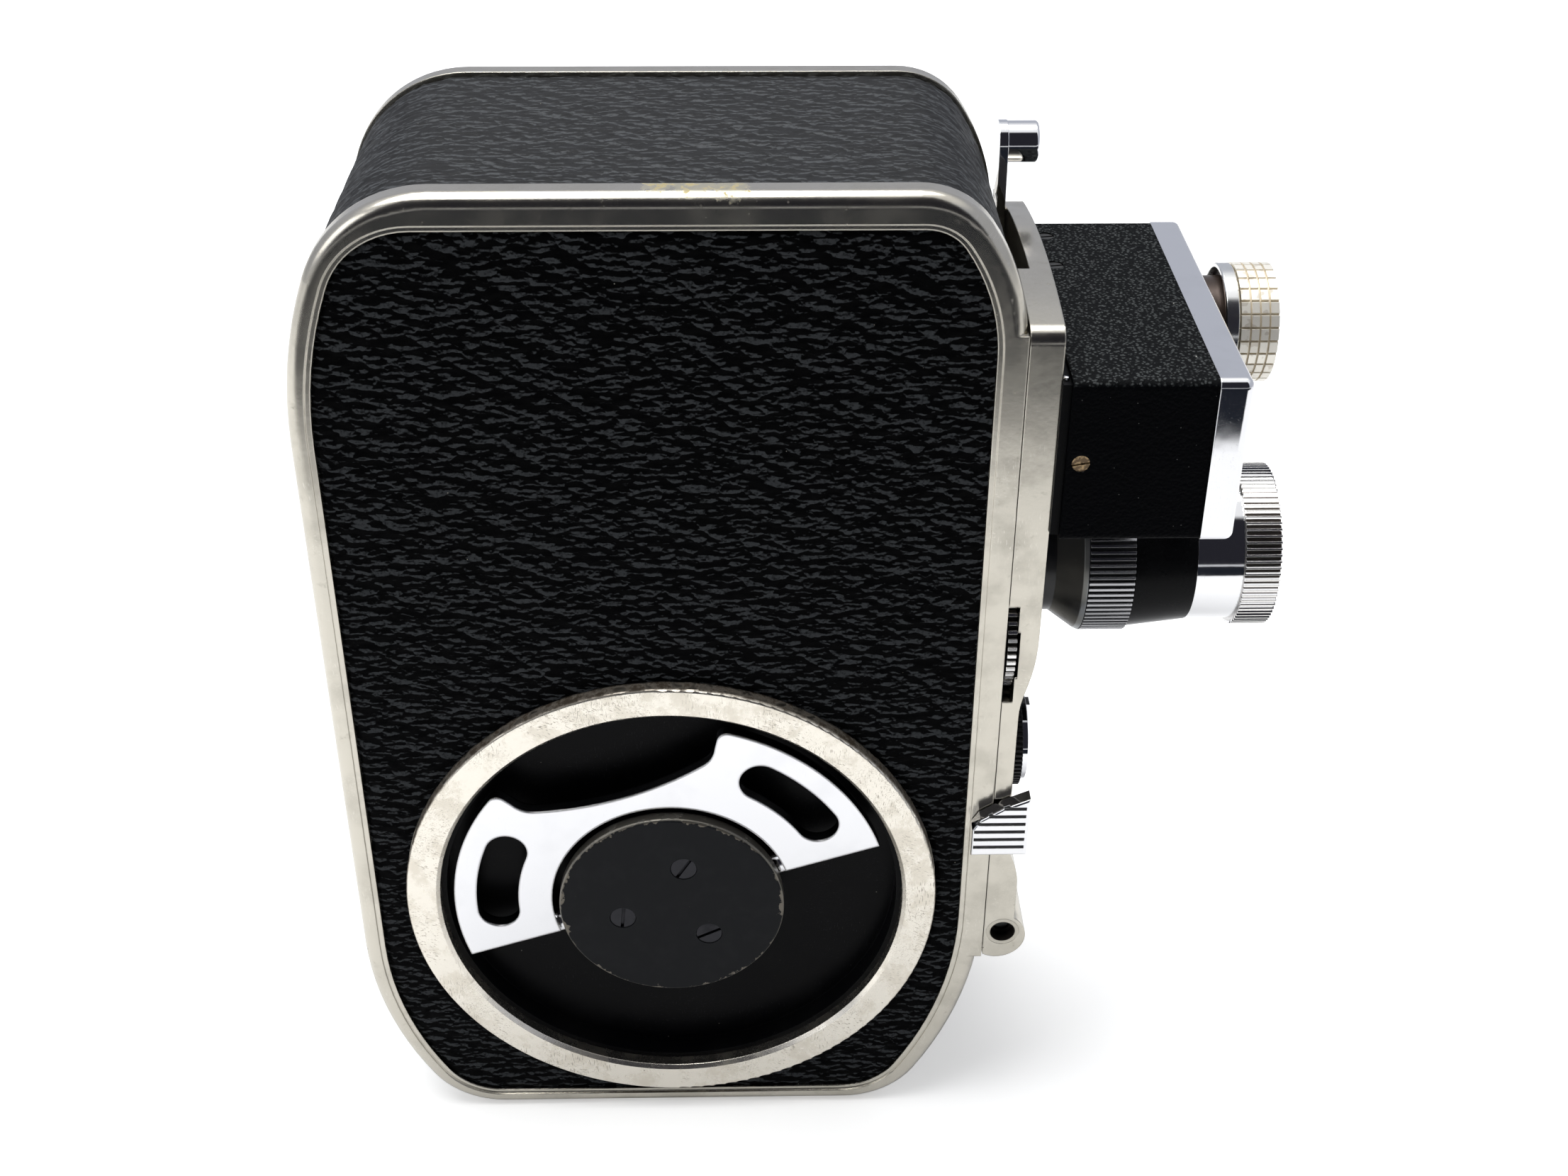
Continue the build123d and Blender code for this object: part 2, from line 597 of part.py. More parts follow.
def plate_front_view():
    """Front outline of the plate: arched top edge, rounded far corner."""
    edges = [
        Line((-HALF_WIDTH, 24), (HALF_WIDTH, 24)),
        Line((HALF_WIDTH, 24), (HALF_WIDTH, 105.5)),
        TangentArc((HALF_WIDTH, 105.5), (15.6, 110.6), tangent=(0, 1)),
        ThreePointArc((15.6, 110.6), (2, 112.2), (-HALF_WIDTH + 1.6, 111.2)),
        TangentArc((-HALF_WIDTH + 1.6, 111.2), (-HALF_WIDTH, 109.5), tangent=(-1, -0.1)),
        Line((-HALF_WIDTH, 109.5), (-HALF_WIDTH, 24)),
    ]
    return make_face(edges)


def plate_screw_places():
    return [(15.5, 36.0), (-15.0, 36.0), (16.0, 82.0), (-16.5, 83.5)]


def front_plate():
    solid = side_slab(plate_section(), -HALF_WIDTH, HALF_WIDTH)
    solid = solid & front_slab(plate_front_view(), PLATE_BACK - 1, 50)
    # boss that the lens screws into
    solid += disc_x(LENS_Y, LENS_Z, 11.2, PLATE_BACK, PLATE_FACE)
    solid -= disc_x(LENS_Y, LENS_Z, 7.94, PLATE_BACK - 1, PLATE_FACE + 1)
    # light path of the finder
    solid -= disc_x(EYE_Y, FINDER_Z, 4.6, PLATE_BACK - 1, PLATE_FACE + 1)
    # slot in which the lever swings, open along the top
    solid -= block(PLATE_BACK - 1, 39.6, -7.0, 19.0, LEVER_PIVOT[1], 120)
    # pocket and edge slot of the speed wheel
    solid -= disc_x(SPEED_Y, SPEED_Z, SPEED_R + 0.3, PLATE_BACK - 1, 39.8)
    solid -= block(PLATE_BACK - 1, 39.5, -21, SPEED_Y, SPEED_Z - 6.5, SPEED_Z + 6.5)
    solid += disc_x(SPEED_Y, SPEED_Z, 1.5, PLATE_BACK, 40)
    # channel of the trigger's bar
    solid -= block(PLATE_BACK - 1, 39.5, -21, -12, 43.6, 50.6)
    # bearing of the front dial, lever pin, cable socket
    solid -= disc_x(DIAL_Y, DIAL_Z, 1.55, PLATE_BACK - 1, 50)
    solid -= disc_y(CABLE_X, CABLE_Z, 2.0, -21, -13.5)
    solid -= disc_y(CABLE_X, CABLE_Z, 0.9, -14, -11.5)
    for y, z in plate_screw_places():
        solid -= disc_x(y, z, 0.9, PLATE_BACK - 1, 50)
        solid -= disc_x(y, z, 1.9, screw_seat(z), 50)
    # pocket that lets the lever's root turn on its pin
    solid -= disc_x(*LEVER_PIVOT, 3.4, PLATE_BACK - 1, 39.6)
    solid += disc_x(*LEVER_PIVOT, 1.2, PLATE_BACK, 39.7)
    return solid


def screw_seat(z):
    return (PLATE_FACE if z > 70 else PLATE_BACK + 3.6) - 0.9


def front_plate_screws():
    screws = []
    for y, z in plate_screw_places():
        seat = screw_seat(z)
        head = disc_x(y, z, 1.85, seat, seat + 0.8) + disc_x(y, z, 0.9, PLATE_BACK + 0.05, seat)
        slot = Pos(y, z) * Rot(0, 0, 35 + 3 * z) * Rectangle(5, 0.45)
        screws.append(head - front_slab(slot, seat + 0.45, 60))
    return Compound(screws)


def speed_wheel():
    wheel = knurled(48, SPEED_R, 0.45) - Circle(1.55)
    return front_slab(Pos(SPEED_Y, SPEED_Z) * wheel, 38.45, 39.45)


def front_dial():
    start = PLATE_BACK + 2.1
    solid = front_slab(Pos(DIAL_Y, DIAL_Z) * knurled(60, DIAL_R + 0.1, 0.25), start, start + 1.9)
    solid += disc_x(DIAL_Y, DIAL_Z, 1.5, PLATE_BACK, start)
    return solid


def front_dial_cap():
    start = PLATE_BACK + 4.0
    solid = disc_x(DIAL_Y, DIAL_Z, DIAL_R - 0.6, start, start + 0.7)
    ridge = Pos(DIAL_Y, DIAL_Z) * Rectangle(1.6, 2 * DIAL_R - 1.8)
    return solid + front_slab(ridge, start + 0.7, start + 1.2)


def trigger():
    """Ribbed thumb pad over the joint, and the bar that carries it."""
    pad = make_face(Polyline((35.7, 43.6), (42.3, 43.6), (42.3, 52.0), (39.2, 50.6), (36.6, 48.9), (35.7, 47.4),
                             close=True).edges())
    solid = side_slab(pad, -22.0, -20.15)
    corners = [e for e in solid.edges() if abs(e.center().Y + 22.0) < 1e-3]
    solid = fillet(corners, 0.3)
    for i in range(6):
        z = 44.7 + 1.15 * i
        start = 35.9 if z < 48.5 else 35.9 + (z - 48.2) * 1.5
        solid -= block(start, 41.9, -23, -21.55, z, z + 0.45)
    return solid + block(38.4, 39.4, -20.2, -13.2, 47.5, 49.0)


def cable_socket():
    """Lining of the release hole: a threaded mouth, the plunger's chamber and its rear bearing."""
    solid = disc_y(CABLE_X, CABLE_Z, 2.0, -HALF_WIDTH, -13.5)
    solid -= disc_y(CABLE_X, CABLE_Z, 1.5, -HALF_WIDTH - 1, -HALF_WIDTH + THREAD_DEPTH)
    solid -= disc_y(CABLE_X, CABLE_Z, 1.12, -HALF_WIDTH, -14.2)
    return solid - disc_y(CABLE_X, CABLE_Z, 0.85, -HALF_WIDTH, -10)


def cable_plunger():
    head = -HALF_WIDTH + THREAD_DEPTH + 0.4
    return disc_y(CABLE_X, CABLE_Z, 0.8, head, -13.8) + disc_y(CABLE_X, CABLE_Z, 1.05, head, head + 0.7)


def cell_lever():
    """Flat lever in the slot behind the plate, with a turned finger knob at its tip."""
    (py, pz), (ky, kz) = LEVER_PIVOT, LEVER_KNOB
    length = hypot(ky - py, kz - pz)
    lean = degrees(atan2(kz - pz, ky - py)) - 90
    blade = make_face(Polyline((-1.9, 0), (1.9, 0), (1.7, 26), (2.5, length), (-2.5, length), (-1.7, 26),
                               close=True).edges())
    sketch = blade + Circle(3.0) + Pos(0, length) * Circle(2.5)
    sketch -= Circle(1.25)
    solid = front_slab(Pos(py, pz) * Rot(0, 0, lean) * sketch, 38.4, 39.4)
    knob = disc_x(ky, kz, 2.4, 39.4, 43.0)
    tip = [e for e in knob.edges() if abs(e.center().X - 43.0) < 1e-3]
    return solid + fillet(tip, 0.4)


# ---------------------------------------------------------------- finder box
def box_flange():
    solid = block(PLATE_FACE, BOX_REAR, -BOX_HALF + 0.7, BOX_HALF - 0.7, BOX_LOW + 0.5, BOX_HIGH - 0.6)
    return solid - disc_x(EYE_Y, FINDER_Z, 4.6, 40, 50)


def box_housing():
    solid = block(BOX_REAR, BOX_FRONT, -BOX_HALF, BOX_HALF, BOX_LOW, BOX_HIGH)
    along = [e for e in solid.edges() if abs((e % 0.5).X) > 0.99]
    solid = fillet(along, 0.8)
    solid -= block(BOX_REAR + 1.2, 70, -BOX_HALF + 1.2, BOX_HALF - 1.2, BOX_LOW + 1.2, BOX_HIGH - 1.2)
    solid -= disc_x(EYE_Y, FINDER_Z, 4.6, 40, 50)
    for x, y, z, axis in box_screw_places():
        solid -= screw_hole(x, y, z, axis)
    return solid


def box_screw_places():
    """Side screws at mid height and two screws on the top, near the rear edge."""
    side = [(44.4, s * BOX_HALF, 96.4, "Y") for s in (-1, 1)]
    top = [(44.9, y, BOX_HIGH, "Z") for y in (8.4, 16.8)]
    return side + top


def screw_hole(x, y, z, axis):
    hole = Cylinder(1.0, 1.2)
    if axis == "Z":
        return Pos(x, y, z) * hole
    return Pos(x, y, z) * Rot(90, 0, 0) * hole


def box_screws():
    screws = []
    for x, y, z, axis in box_screw_places():
        head = Pos(0, 0, -0.35) * Cylinder(0.97, 0.5) - Pos(0, 0, -0.1) * Rot(0, 0, 10) * Box(3, 0.32, 0.3)
        if axis == "Z":
            screws.append(Pos(x, y, z) * head)
        else:
            screws.append(Pos(x, y, z) * Rot(90 if y < 0 else -90, 0, 0) * head)
    return Compound(screws)


def box_bezel():
    solid = block(BOX_FRONT, BEZEL_FRONT, -BOX_HALF - 0.15, BOX_HALF + 0.15, BOX_LOW - 0.15, BOX_HIGH + 0.15)
    along = [e for e in solid.edges() if abs((e % 0.5).X) > 0.99]
    solid = fillet(along, 1.0)
    front = [e for e in solid.edges() if abs(e.center().X - BEZEL_FRONT) < 1e-3]
    solid = fillet(front, 0.9)
    solid -= block(50, 70, -BOX_HALF + 1.6, BOX_HALF - 1.6, BOX_LOW + 1.6, BOX_HIGH - 1.6)
    return solid


def box_panel():
    solid = block(59.2, 60.4, -BOX_HALF + 1.6, BOX_HALF - 1.6, BOX_LOW + 1.6, BOX_HIGH - 1.6)
    return solid - disc_x(FINDER_Y, FINDER_Z, 5.6, 50, 70)


def finder_barrel():
    points = [(56.5, 4.6), (56.5, 5.6), (62.6, 5.6), (62.6, 5.0), (70.6, 5.0), (70.6, 4.3), (69.0, 4.3), (69.0, 4.6)]
    return spun(FINDER_Y, FINDER_Z, points)


def finder_collar():
    """Flared collar, hollow at the back, that the grip ring turns against."""
    points = [
        (62.7, 5.0), (62.7, 5.5), (66.0, 5.5), (66.0, 6.3), (65.0, 6.5), (65.0, 6.85), (65.15, 7.0),
        (66.5, 7.0), (66.7, 6.8), (66.7, 5.0),
    ]
    return spun(FINDER_Y, FINDER_Z, points)


def finder_ring():
    """Ring with a squared grip pattern: ridges crossed by two grooves."""
    sketch = toothed(28, 6.75, 7.05, 0.44, 0.41) - Circle(5.05)
    solid = front_slab(Pos(FINDER_Y, FINDER_Z) * sketch, 66.8, 71.2)
    for x in (67.9, 69.0, 70.1):
        groove = Pos(FINDER_Y, FINDER_Z) * (Circle(8) - Circle(6.75))
        solid -= front_slab(groove, x - 0.12, x + 0.12)
    return solid


def finder_glass():
    """Objective lens in the barrel and eye lens at the back of the tube."""
    return Compound([disc_x(FINDER_Y, FINDER_Z, 4.55, 66.5, 69.0), disc_x(EYE_Y, FINDER_Z, 4.25, EYE_GLASS, EYE_GLASS + 1.2)])


def finder_prism():
    """Rhomb that carries the finder's light across the box to the eyepiece."""
    outline_points = ((45.0, -13.2), (55.0, -3.8), (55.0, 17.2), (45.0, 7.8))
    face = make_face(Polyline(*outline_points, close=True).edges())
    return extrude(Plane.XY.offset(92.2) * face, 9.0)


def finder_tube():
    """Tube through the clockwork chamber, flanged behind the camera as the eyepiece."""
    points = [
        (BODY_FRONT - 3.2, 4.6), (BODY_FRONT - 3.2, 5.3), (BODY_REAR + 0.5, 5.3), (BODY_REAR + 0.5, 7.0),
        (BODY_REAR, 6.7), (BODY_REAR, 4.9), (EYE_GLASS, 4.3), (EYE_GLASS + 1.2, 4.3), (EYE_GLASS + 1.4, 4.6),
    ]
    return spun(EYE_Y, FINDER_Z, points)


# ---------------------------------------------------------------- taking lens
def lens_mount():
    points = [
        (38.6, 6.6), (38.6, 7.9), (41.9, 7.9), (41.9, 9.0), (43.6, 9.0), (43.6, 8.0), (46.2, 8.0),
        (49.2, 10.2), (49.7, 10.45), (49.7, 8.5), (55.3, 8.5), (55.3, 6.6),
    ]
    return spun(LENS_Y, LENS_Z, points)


def aperture_ring():
    sketch = knurled(84, 10.5, 0.3) - Circle(8.55)
    solid = front_slab(Pos(LENS_Y, LENS_Z) * sketch, 49.8, 55.2)
    return solid - Pos(52.0, LENS_Y, LENS_Z - 10.5) * Cylinder(0.6, 1.6)


def lens_barrel():
    points = [(55.3, 6.6), (55.3, 10.1), (62.7, 9.25), (62.7, 7.0), (71.4, 7.0), (71.4, 6.6)]
    return spun(LENS_Y, LENS_Z, points)


FOCUS_RIDGES = 80


def focus_ring():
    """Plain sleeve with a coarsely knurled grip at the front."""
    sleeve = Pos(LENS_Y, LENS_Z) * (Circle(9.2) - Circle(7.05))
    grip = Pos(LENS_Y, LENS_Z) * (toothed(FOCUS_RIDGES, 9.45, 9.9, 0.42, 0.14) - Circle(7.05))
    solid = front_slab(sleeve, 62.8, 68.4) + front_slab(grip, 68.4, 72.6)
    cone = spun(LENS_Y, LENS_Z, [(71.4, 7.0), (72.7, 8.6), (72.7, 0), (71.4, 0)])
    return solid - cone


LENS_FRONT, DOME_R = 71.1, 20.0


def lens_glass():
    """Front and rear lens elements."""
    dome = Pos(LENS_FRONT - DOME_R, LENS_Y, LENS_Z) * Sphere(DOME_R)
    front = disc_x(LENS_Y, LENS_Z, 6.55, 68.8, LENS_FRONT + 1) & dome
    rear = disc_x(LENS_Y, LENS_Z, 6.55, 40.0, 42.0)
    return Compound([front, rear])


PIECES = [
    main_casting, leather_band, mechanism_cover, mechanism_cover_leather, film_door, film_door_leather,
    tripod_bush, winder_ring, winder_dish, winding_key, key_hinge_pins, key_hub, key_hub_cap,
    hub_cap_screws, winding_arbor, ratchet_wheel, click_pawl, spring_barrel, mainspring,
    centre_wheel, governor_arbor, governor_weights, shutter_drive_arbor, idler_wheel, take_up_spindle,
    take_up_spool, mechanism_bridge, shutter_shaft, shutter_disc, gate_plate, claw,
    pressure_plate, door_lock_knob, counter_window, counter_dial, front_plate, front_plate_screws,
    speed_wheel, front_dial, front_dial_cap, trigger, cable_socket, cable_plunger, cell_lever,
    box_flange, box_housing, box_screws, box_bezel, box_panel, finder_barrel, finder_collar,
    finder_ring, finder_glass, finder_prism, finder_tube, lens_mount,
    aperture_ring, lens_barrel, focus_ring, lens_glass,
]

for piece in PIECES:
    save(piece.__name__, piece())
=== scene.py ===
import json
import math

import bmesh
import bpy
import numpy as np
from mathutils import Matrix, Vector
from mathutils.bvhtree import BVHTree

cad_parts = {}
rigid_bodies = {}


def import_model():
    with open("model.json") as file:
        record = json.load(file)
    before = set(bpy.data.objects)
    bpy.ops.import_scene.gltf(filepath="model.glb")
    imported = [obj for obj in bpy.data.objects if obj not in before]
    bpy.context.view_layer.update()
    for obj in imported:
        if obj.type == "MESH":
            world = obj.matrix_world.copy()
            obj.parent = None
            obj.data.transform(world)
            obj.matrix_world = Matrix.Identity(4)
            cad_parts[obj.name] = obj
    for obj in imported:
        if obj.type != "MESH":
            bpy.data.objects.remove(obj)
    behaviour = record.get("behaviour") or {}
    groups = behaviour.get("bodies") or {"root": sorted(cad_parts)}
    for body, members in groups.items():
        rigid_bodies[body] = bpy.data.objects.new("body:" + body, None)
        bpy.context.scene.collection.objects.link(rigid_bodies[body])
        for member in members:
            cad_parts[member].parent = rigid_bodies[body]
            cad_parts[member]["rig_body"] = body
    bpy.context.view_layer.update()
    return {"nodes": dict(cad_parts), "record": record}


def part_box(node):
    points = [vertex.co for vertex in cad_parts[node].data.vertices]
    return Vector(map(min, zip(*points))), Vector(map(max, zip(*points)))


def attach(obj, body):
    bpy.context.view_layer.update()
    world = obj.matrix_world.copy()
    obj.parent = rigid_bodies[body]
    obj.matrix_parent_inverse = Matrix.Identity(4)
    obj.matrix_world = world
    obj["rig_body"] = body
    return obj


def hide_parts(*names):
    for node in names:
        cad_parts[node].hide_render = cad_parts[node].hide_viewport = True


# Looks of a pocket spring-wound cine camera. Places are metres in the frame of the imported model;
# patterns of the materials are laid out in millimetres of the same frame.

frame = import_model()
NODES = frame["nodes"]
MM = 0.001


def centre_of(node):
    """Middle of a node's box, in metres."""
    low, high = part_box(node)
    return (low + high) / 2


def outer_radius(node):
    """Radius of a node that is round about the X axis, in mm."""
    low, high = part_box(node)
    return (high[2] - low[2]) / 2 / MM


def placed(name, data):
    """An object of the scene that holds the given mesh, lamp or camera."""
    made = bpy.data.objects.new(name, data)
    bpy.context.scene.collection.objects.link(made)
    return made


LENS_AXIS = centre_of("lens_barrel")
FINDER_AXIS = centre_of("finder_ring")
WINDER_AXIS = centre_of("winder_ring")
EYEPIECE_AXIS = centre_of("finder_tube")


# ---------------------------------------------------------------- material graphs
class Graph:
    """The nodes of a material or of the world, wired by short calls."""

    def __init__(self, tree):
        self.tree = tree
        tree.nodes.clear()

    def node(self, kind, **settings):
        """A new shader node of a kind, with its settings."""
        made = self.tree.nodes.new("ShaderNode" + kind)
        for key, value in settings.items():
            setattr(made, key, value)
        return made

    def put(self, node, key, value):
        """Gives an input of a node a number, a vector, a colour or the output of another node."""
        socket = node.inputs[key]
        if isinstance(value, bpy.types.NodeSocket):
            self.tree.links.new(value, socket)
        elif socket.type == "RGBA":
            socket.default_value = (*value, 1)
        else:
            socket.default_value = value

    def math(self, operation, a, b=0.0):
        """The result of an operation on two numbers, or on a alone where it takes one."""
        node = self.node("Math", operation=operation)
        self.put(node, 0, a)
        self.put(node, 1, b)
        return node.outputs[0]

    def ramp(self, value, low, high):
        """0 below low, 1 above high, smooth between; low may be the greater."""
        node = self.node("MapRange", interpolation_type="SMOOTHSTEP")
        turned = low > high
        for key, number in enumerate((value, min(low, high), max(low, high), float(turned), 1.0 - turned)):
            self.put(node, key, number)
        return node.outputs[0]

    def mix(self, mask, below, above):
        """The colour below where mask is 0, and the colour above where it is 1."""
        node = self.node("Mix", data_type="RGBA")
        self.put(node, 0, mask)
        self.put(node, 6, below)
        self.put(node, 7, above)
        return node.outputs[2]

    def part(self, vector, index):
        """X, Y or Z of a vector."""
        node = self.node("SeparateXYZ")
        self.put(node, 0, vector)
        return node.outputs[index]


class Finish(Graph):
    """A node material whose patterns are sized in millimetres of the object's own frame."""

    def __init__(self, name, colour, metallic=0.0, roughness=0.4, specular=0.5):
        self.material = bpy.data.materials.new(name)
        self.material.use_nodes = True
        super().__init__(self.material.node_tree)
        self.output = self.node("OutputMaterial")
        self.surface = self.node("BsdfPrincipled")
        self.put(self.output, "Surface", self.surface.outputs[0])
        self.colour, self.roughness, self.metallic, self.normal = colour, roughness, metallic, None
        self.material.diffuse_color = (*colour, 1)
        self.put(self.surface, "Specular IOR Level", specular)
        scale = self.node("VectorMath", operation="SCALE")
        self.put(scale, 0, self.node("TexCoord").outputs["Object"])
        self.put(scale, "Scale", 1 / MM)
        self.mm = scale.outputs[0]

    def laid(self, sizes, turn=(0, 0, 0)):
        """Coordinates counted in the given sizes, in mm, after turning the pattern by turn degrees."""
        mapping = self.node("Mapping", vector_type="TEXTURE")
        self.put(mapping, "Vector", self.mm)
        self.put(mapping, "Rotation", [math.radians(t) for t in turn])
        self.put(mapping, "Scale", sizes)
        return mapping.outputs[0]

    def noise(self, size, detail=3.0, roughness=0.55, stretch=(1, 1, 1), turn=(0, 0, 0)):
        """Cloudy pattern around 0.5 with features of about size mm."""
        node = self.node("TexNoise")
        self.put(node, "Vector", self.laid([size * s for s in stretch], turn))
        self.put(node, "Scale", 1.0)
        self.put(node, "Detail", detail)
        self.put(node, "Roughness", roughness)
        return node.outputs[0]

    def cells(self, size, stretch=(1, 1, 1), warp=0.0, warp_size=1.0, turn=(0, 0, 0)):
        """Distance to the nearest of scattered points, in cell sizes, bent by warp over warp_size mm."""
        where = self.laid([size * s for s in stretch], turn)
        if warp:
            bent = self.node("TexNoise")
            self.put(bent, "Vector", self.laid([warp_size] * 3))
            self.put(bent, "Scale", 1.0)
            add = self.node("VectorMath", operation="MULTIPLY_ADD")
            self.put(add, 0, bent.outputs[1])
            self.put(add, 1, (warp, warp, warp))
            self.put(add, 2, where)
            where = add.outputs[0]
        node = self.node("TexVoronoi", feature="F1")
        self.put(node, "Vector", where)
        self.put(node, "Scale", 1.0)
        return node.outputs["Distance"]

    def over(self, mask, colour=None, roughness=None, metallic=None):
        """Lays another surface over the present one where mask is 1."""
        if colour is not None:
            self.colour = self.mix(mask, self.colour, colour)
        for field, value in (("roughness", roughness), ("metallic", metallic)):
            if value is not None:
                node = self.node("Mix", data_type="FLOAT")
                self.put(node, 0, mask)
                self.put(node, 2, getattr(self, field))
                self.put(node, 3, value)
                setattr(self, field, node.outputs[0])

    def bump(self, height, depth):
        """Raises the surface by height times depth mm."""
        node = self.node("Bump")
        self.put(node, "Strength", 1.0)
        self.put(node, "Distance", depth * MM)
        self.put(node, "Height", height)
        if self.normal is not None:
            self.put(node, "Normal", self.normal)
        self.normal = node.outputs[0]

    def soft_edges(self, radius):
        """Rounds the shading of every edge by radius mm."""
        node = self.node("Bevel", samples=6)
        self.put(node, "Radius", radius * MM)
        self.normal = node.outputs[0]

    def edges(self, radius, low=0.03, high=0.3):
        """1 on edges and corners, over about radius mm."""
        bevel = self.node("Bevel", samples=6)
        self.put(bevel, "Radius", radius * MM)
        dot = self.node("VectorMath", operation="DOT_PRODUCT")
        self.put(dot, 0, bevel.outputs[0])
        self.put(dot, 1, self.node("NewGeometry").outputs["Normal"])
        return self.ramp(self.math("SUBTRACT", 1.0, dot.outputs["Value"]), low, high)

    def axis(self, index, middle=0.0):
        """Distance along X, Y or Z from middle, both in mm."""
        return self.math("SUBTRACT", self.part(self.mm, index), middle)

    def facing(self, index):
        """How far the surface faces along X, Y or Z, from -1 to 1."""
        return self.part(self.node("NewGeometry").outputs["Normal"], index)

    def radius(self, first, second, centre):
        """Distance from a line along the third axis through centre, in mm."""
        a = self.math("POWER", self.math("ABSOLUTE", self.axis(first, centre[first] / MM)), 2.0)
        b = self.math("POWER", self.math("ABSOLUTE", self.axis(second, centre[second] / MM)), 2.0)
        return self.math("SQRT", self.math("ADD", a, b))

    def near(self, point, reach, ragged=0.35):
        """1 within reach mm of a point given in mm, with a ragged edge."""
        away = self.node("VectorMath", operation="DISTANCE")
        self.put(away, 0, self.mm)
        self.put(away, 1, point)
        share = self.math("DIVIDE", away.outputs["Value"], reach)
        uneven = self.math("MULTIPLY", self.math("SUBTRACT", self.noise(reach * 0.35), 0.5), 4 * ragged)
        return self.ramp(self.math("ADD", share, uneven), 1.0, 0.7)

    def scratches(self, width=0.05, length=6.0, share=0.66):
        """Fine straight marks that lie in several directions."""
        marks = None
        for turn in ((20, 35, 10), (70, -25, 50), (-15, 80, -35)):
            streak = self.noise(1.0, 1.0, 0.5, (length, width, width * 3), turn)
            gaps = self.noise(7.0, 1.0, 0.5, (1, 1, 1), turn)
            line = self.math("MULTIPLY", self.ramp(streak, share, share + 0.06), self.ramp(gaps, 0.5, 0.62))
            marks = line if marks is None else self.math("MAXIMUM", marks, line)
        return marks

    def specks(self, spacing, size):
        """Scattered round specks of the given radius, one to a cell of the given spacing, in mm."""
        return self.ramp(self.cells(spacing), size / spacing, 0.6 * size / spacing)

    def done(self):
        """Wires the finished surface and gives its material."""
        self.put(self.surface, "Base Color", self.colour)
        self.put(self.surface, "Roughness", self.roughness)
        self.put(self.surface, "Metallic", self.metallic)
        if self.normal is not None:
            self.put(self.surface, "Normal", self.normal)
        return self.material


# ---------------------------------------------------------------- finishes
def satin_aluminium(name="satin_aluminium", residue=()):
    """Cast aluminium, dulled by handling: warm, blotchy, with nicks, hairlines and spots of residue."""
    f = Finish(name, (0.64, 0.605, 0.525), 1.0, 0.19)
    f.over(f.ramp(f.noise(6.0, 4.0, 0.6), 0.42, 0.68), (0.54, 0.51, 0.44), 0.25)
    f.over(f.ramp(f.noise(1.6, 5.0, 0.7), 0.58, 0.78), (0.46, 0.43, 0.36), 0.30)
    f.over(f.math("MULTIPLY", f.scratches(0.06, 5.0, 0.65), 0.5), (0.80, 0.77, 0.70), 0.14)
    f.over(f.math("MULTIPLY", f.specks(5.5, 0.13), 0.8), (0.22, 0.19, 0.16), 0.6)
    f.over(f.math("MULTIPLY", f.specks(2.1, 0.05), 0.6), (0.25, 0.23, 0.20), 0.5)
    f.soft_edges(0.25)
    f.bump(f.noise(3.5, 3.0, 0.6), 0.012)
    f.bump(f.noise(0.25, 2.0), 0.0012)
    for point, reach in residue:
        mask = f.near(point, reach)
        f.over(f.math("MULTIPLY", mask, 0.5), (0.40, 0.37, 0.25), 0.45, 0.7)
        crust = f.math("MULTIPLY", mask, f.ramp(f.noise(0.8, 4.0, 0.7), 0.52, 0.6))
        f.over(f.math("MULTIPLY", crust, 0.8), (0.36, 0.29, 0.12), 0.6, 0.2)
    return f.done()


def champagne_metal():
    """Winder ring: pale satin plating with a warm cast, darker on its outer wall, with blotches of grime
    there.
    """
    f = Finish("champagne_metal", (0.92, 0.87, 0.77), 1.0, 0.24)
    f.over(f.ramp(f.noise(4.0, 5.0, 0.7), 0.45, 0.62), (0.80, 0.745, 0.64), 0.32)
    f.over(f.math("MULTIPLY", f.scratches(0.06, 4.0, 0.61), 0.75), (0.42, 0.38, 0.32), 0.4)
    f.over(f.math("MULTIPLY", f.specks(2.3, 0.11), 0.8), (0.30, 0.26, 0.21), 0.6)
    rim = 32.0
    wall = f.ramp(f.radius(0, 2, WINDER_AXIS), rim - 0.25, rim - 0.02)
    dirt = f.math("MULTIPLY", wall, f.ramp(f.noise(1.4, 4.0, 0.7), 0.35, 0.62))
    f.over(f.math("MULTIPLY", wall, 0.75), (0.30, 0.26, 0.21), 0.4)
    f.over(dirt, (0.06, 0.045, 0.03), 0.7, 0.3)
    f.soft_edges(0.12)
    f.bump(f.noise(3.0, 2.0), 0.012)
    f.bump(f.noise(0.2, 2.0), 0.0015)
    return f.done()


def chrome(name="chrome", edge=0.12, painted_dark_edges=0.0):
    """Polished plate with a few hairlines and tiny pits; the last argument paints a dark reflection onto
    its edges and corners.
    """
    f = Finish(name, (0.90, 0.90, 0.915), 1.0, 0.035)
    f.over(f.ramp(f.noise(6.0, 3.0), 0.5, 0.75), (0.86, 0.86, 0.875), 0.075)
    f.over(f.math("MULTIPLY", f.scratches(0.04, 3.0, 0.66), 0.35), (0.78, 0.78, 0.80), 0.22)
    f.over(f.math("MULTIPLY", f.specks(4.5, 0.09), 0.8), (0.12, 0.10, 0.09), 0.6)
    # painted reflection: edges and corners are darkened, standing for the dark figure in front that they
    # mirror
    if painted_dark_edges:
        f.over(f.math("MULTIPLY", f.edges(0.5, 0.02, 0.2), painted_dark_edges), (0.10, 0.09, 0.09), 0.2)
    f.soft_edges(edge)
    f.bump(f.noise(4.0, 2.0), 0.006)
    return f.done()


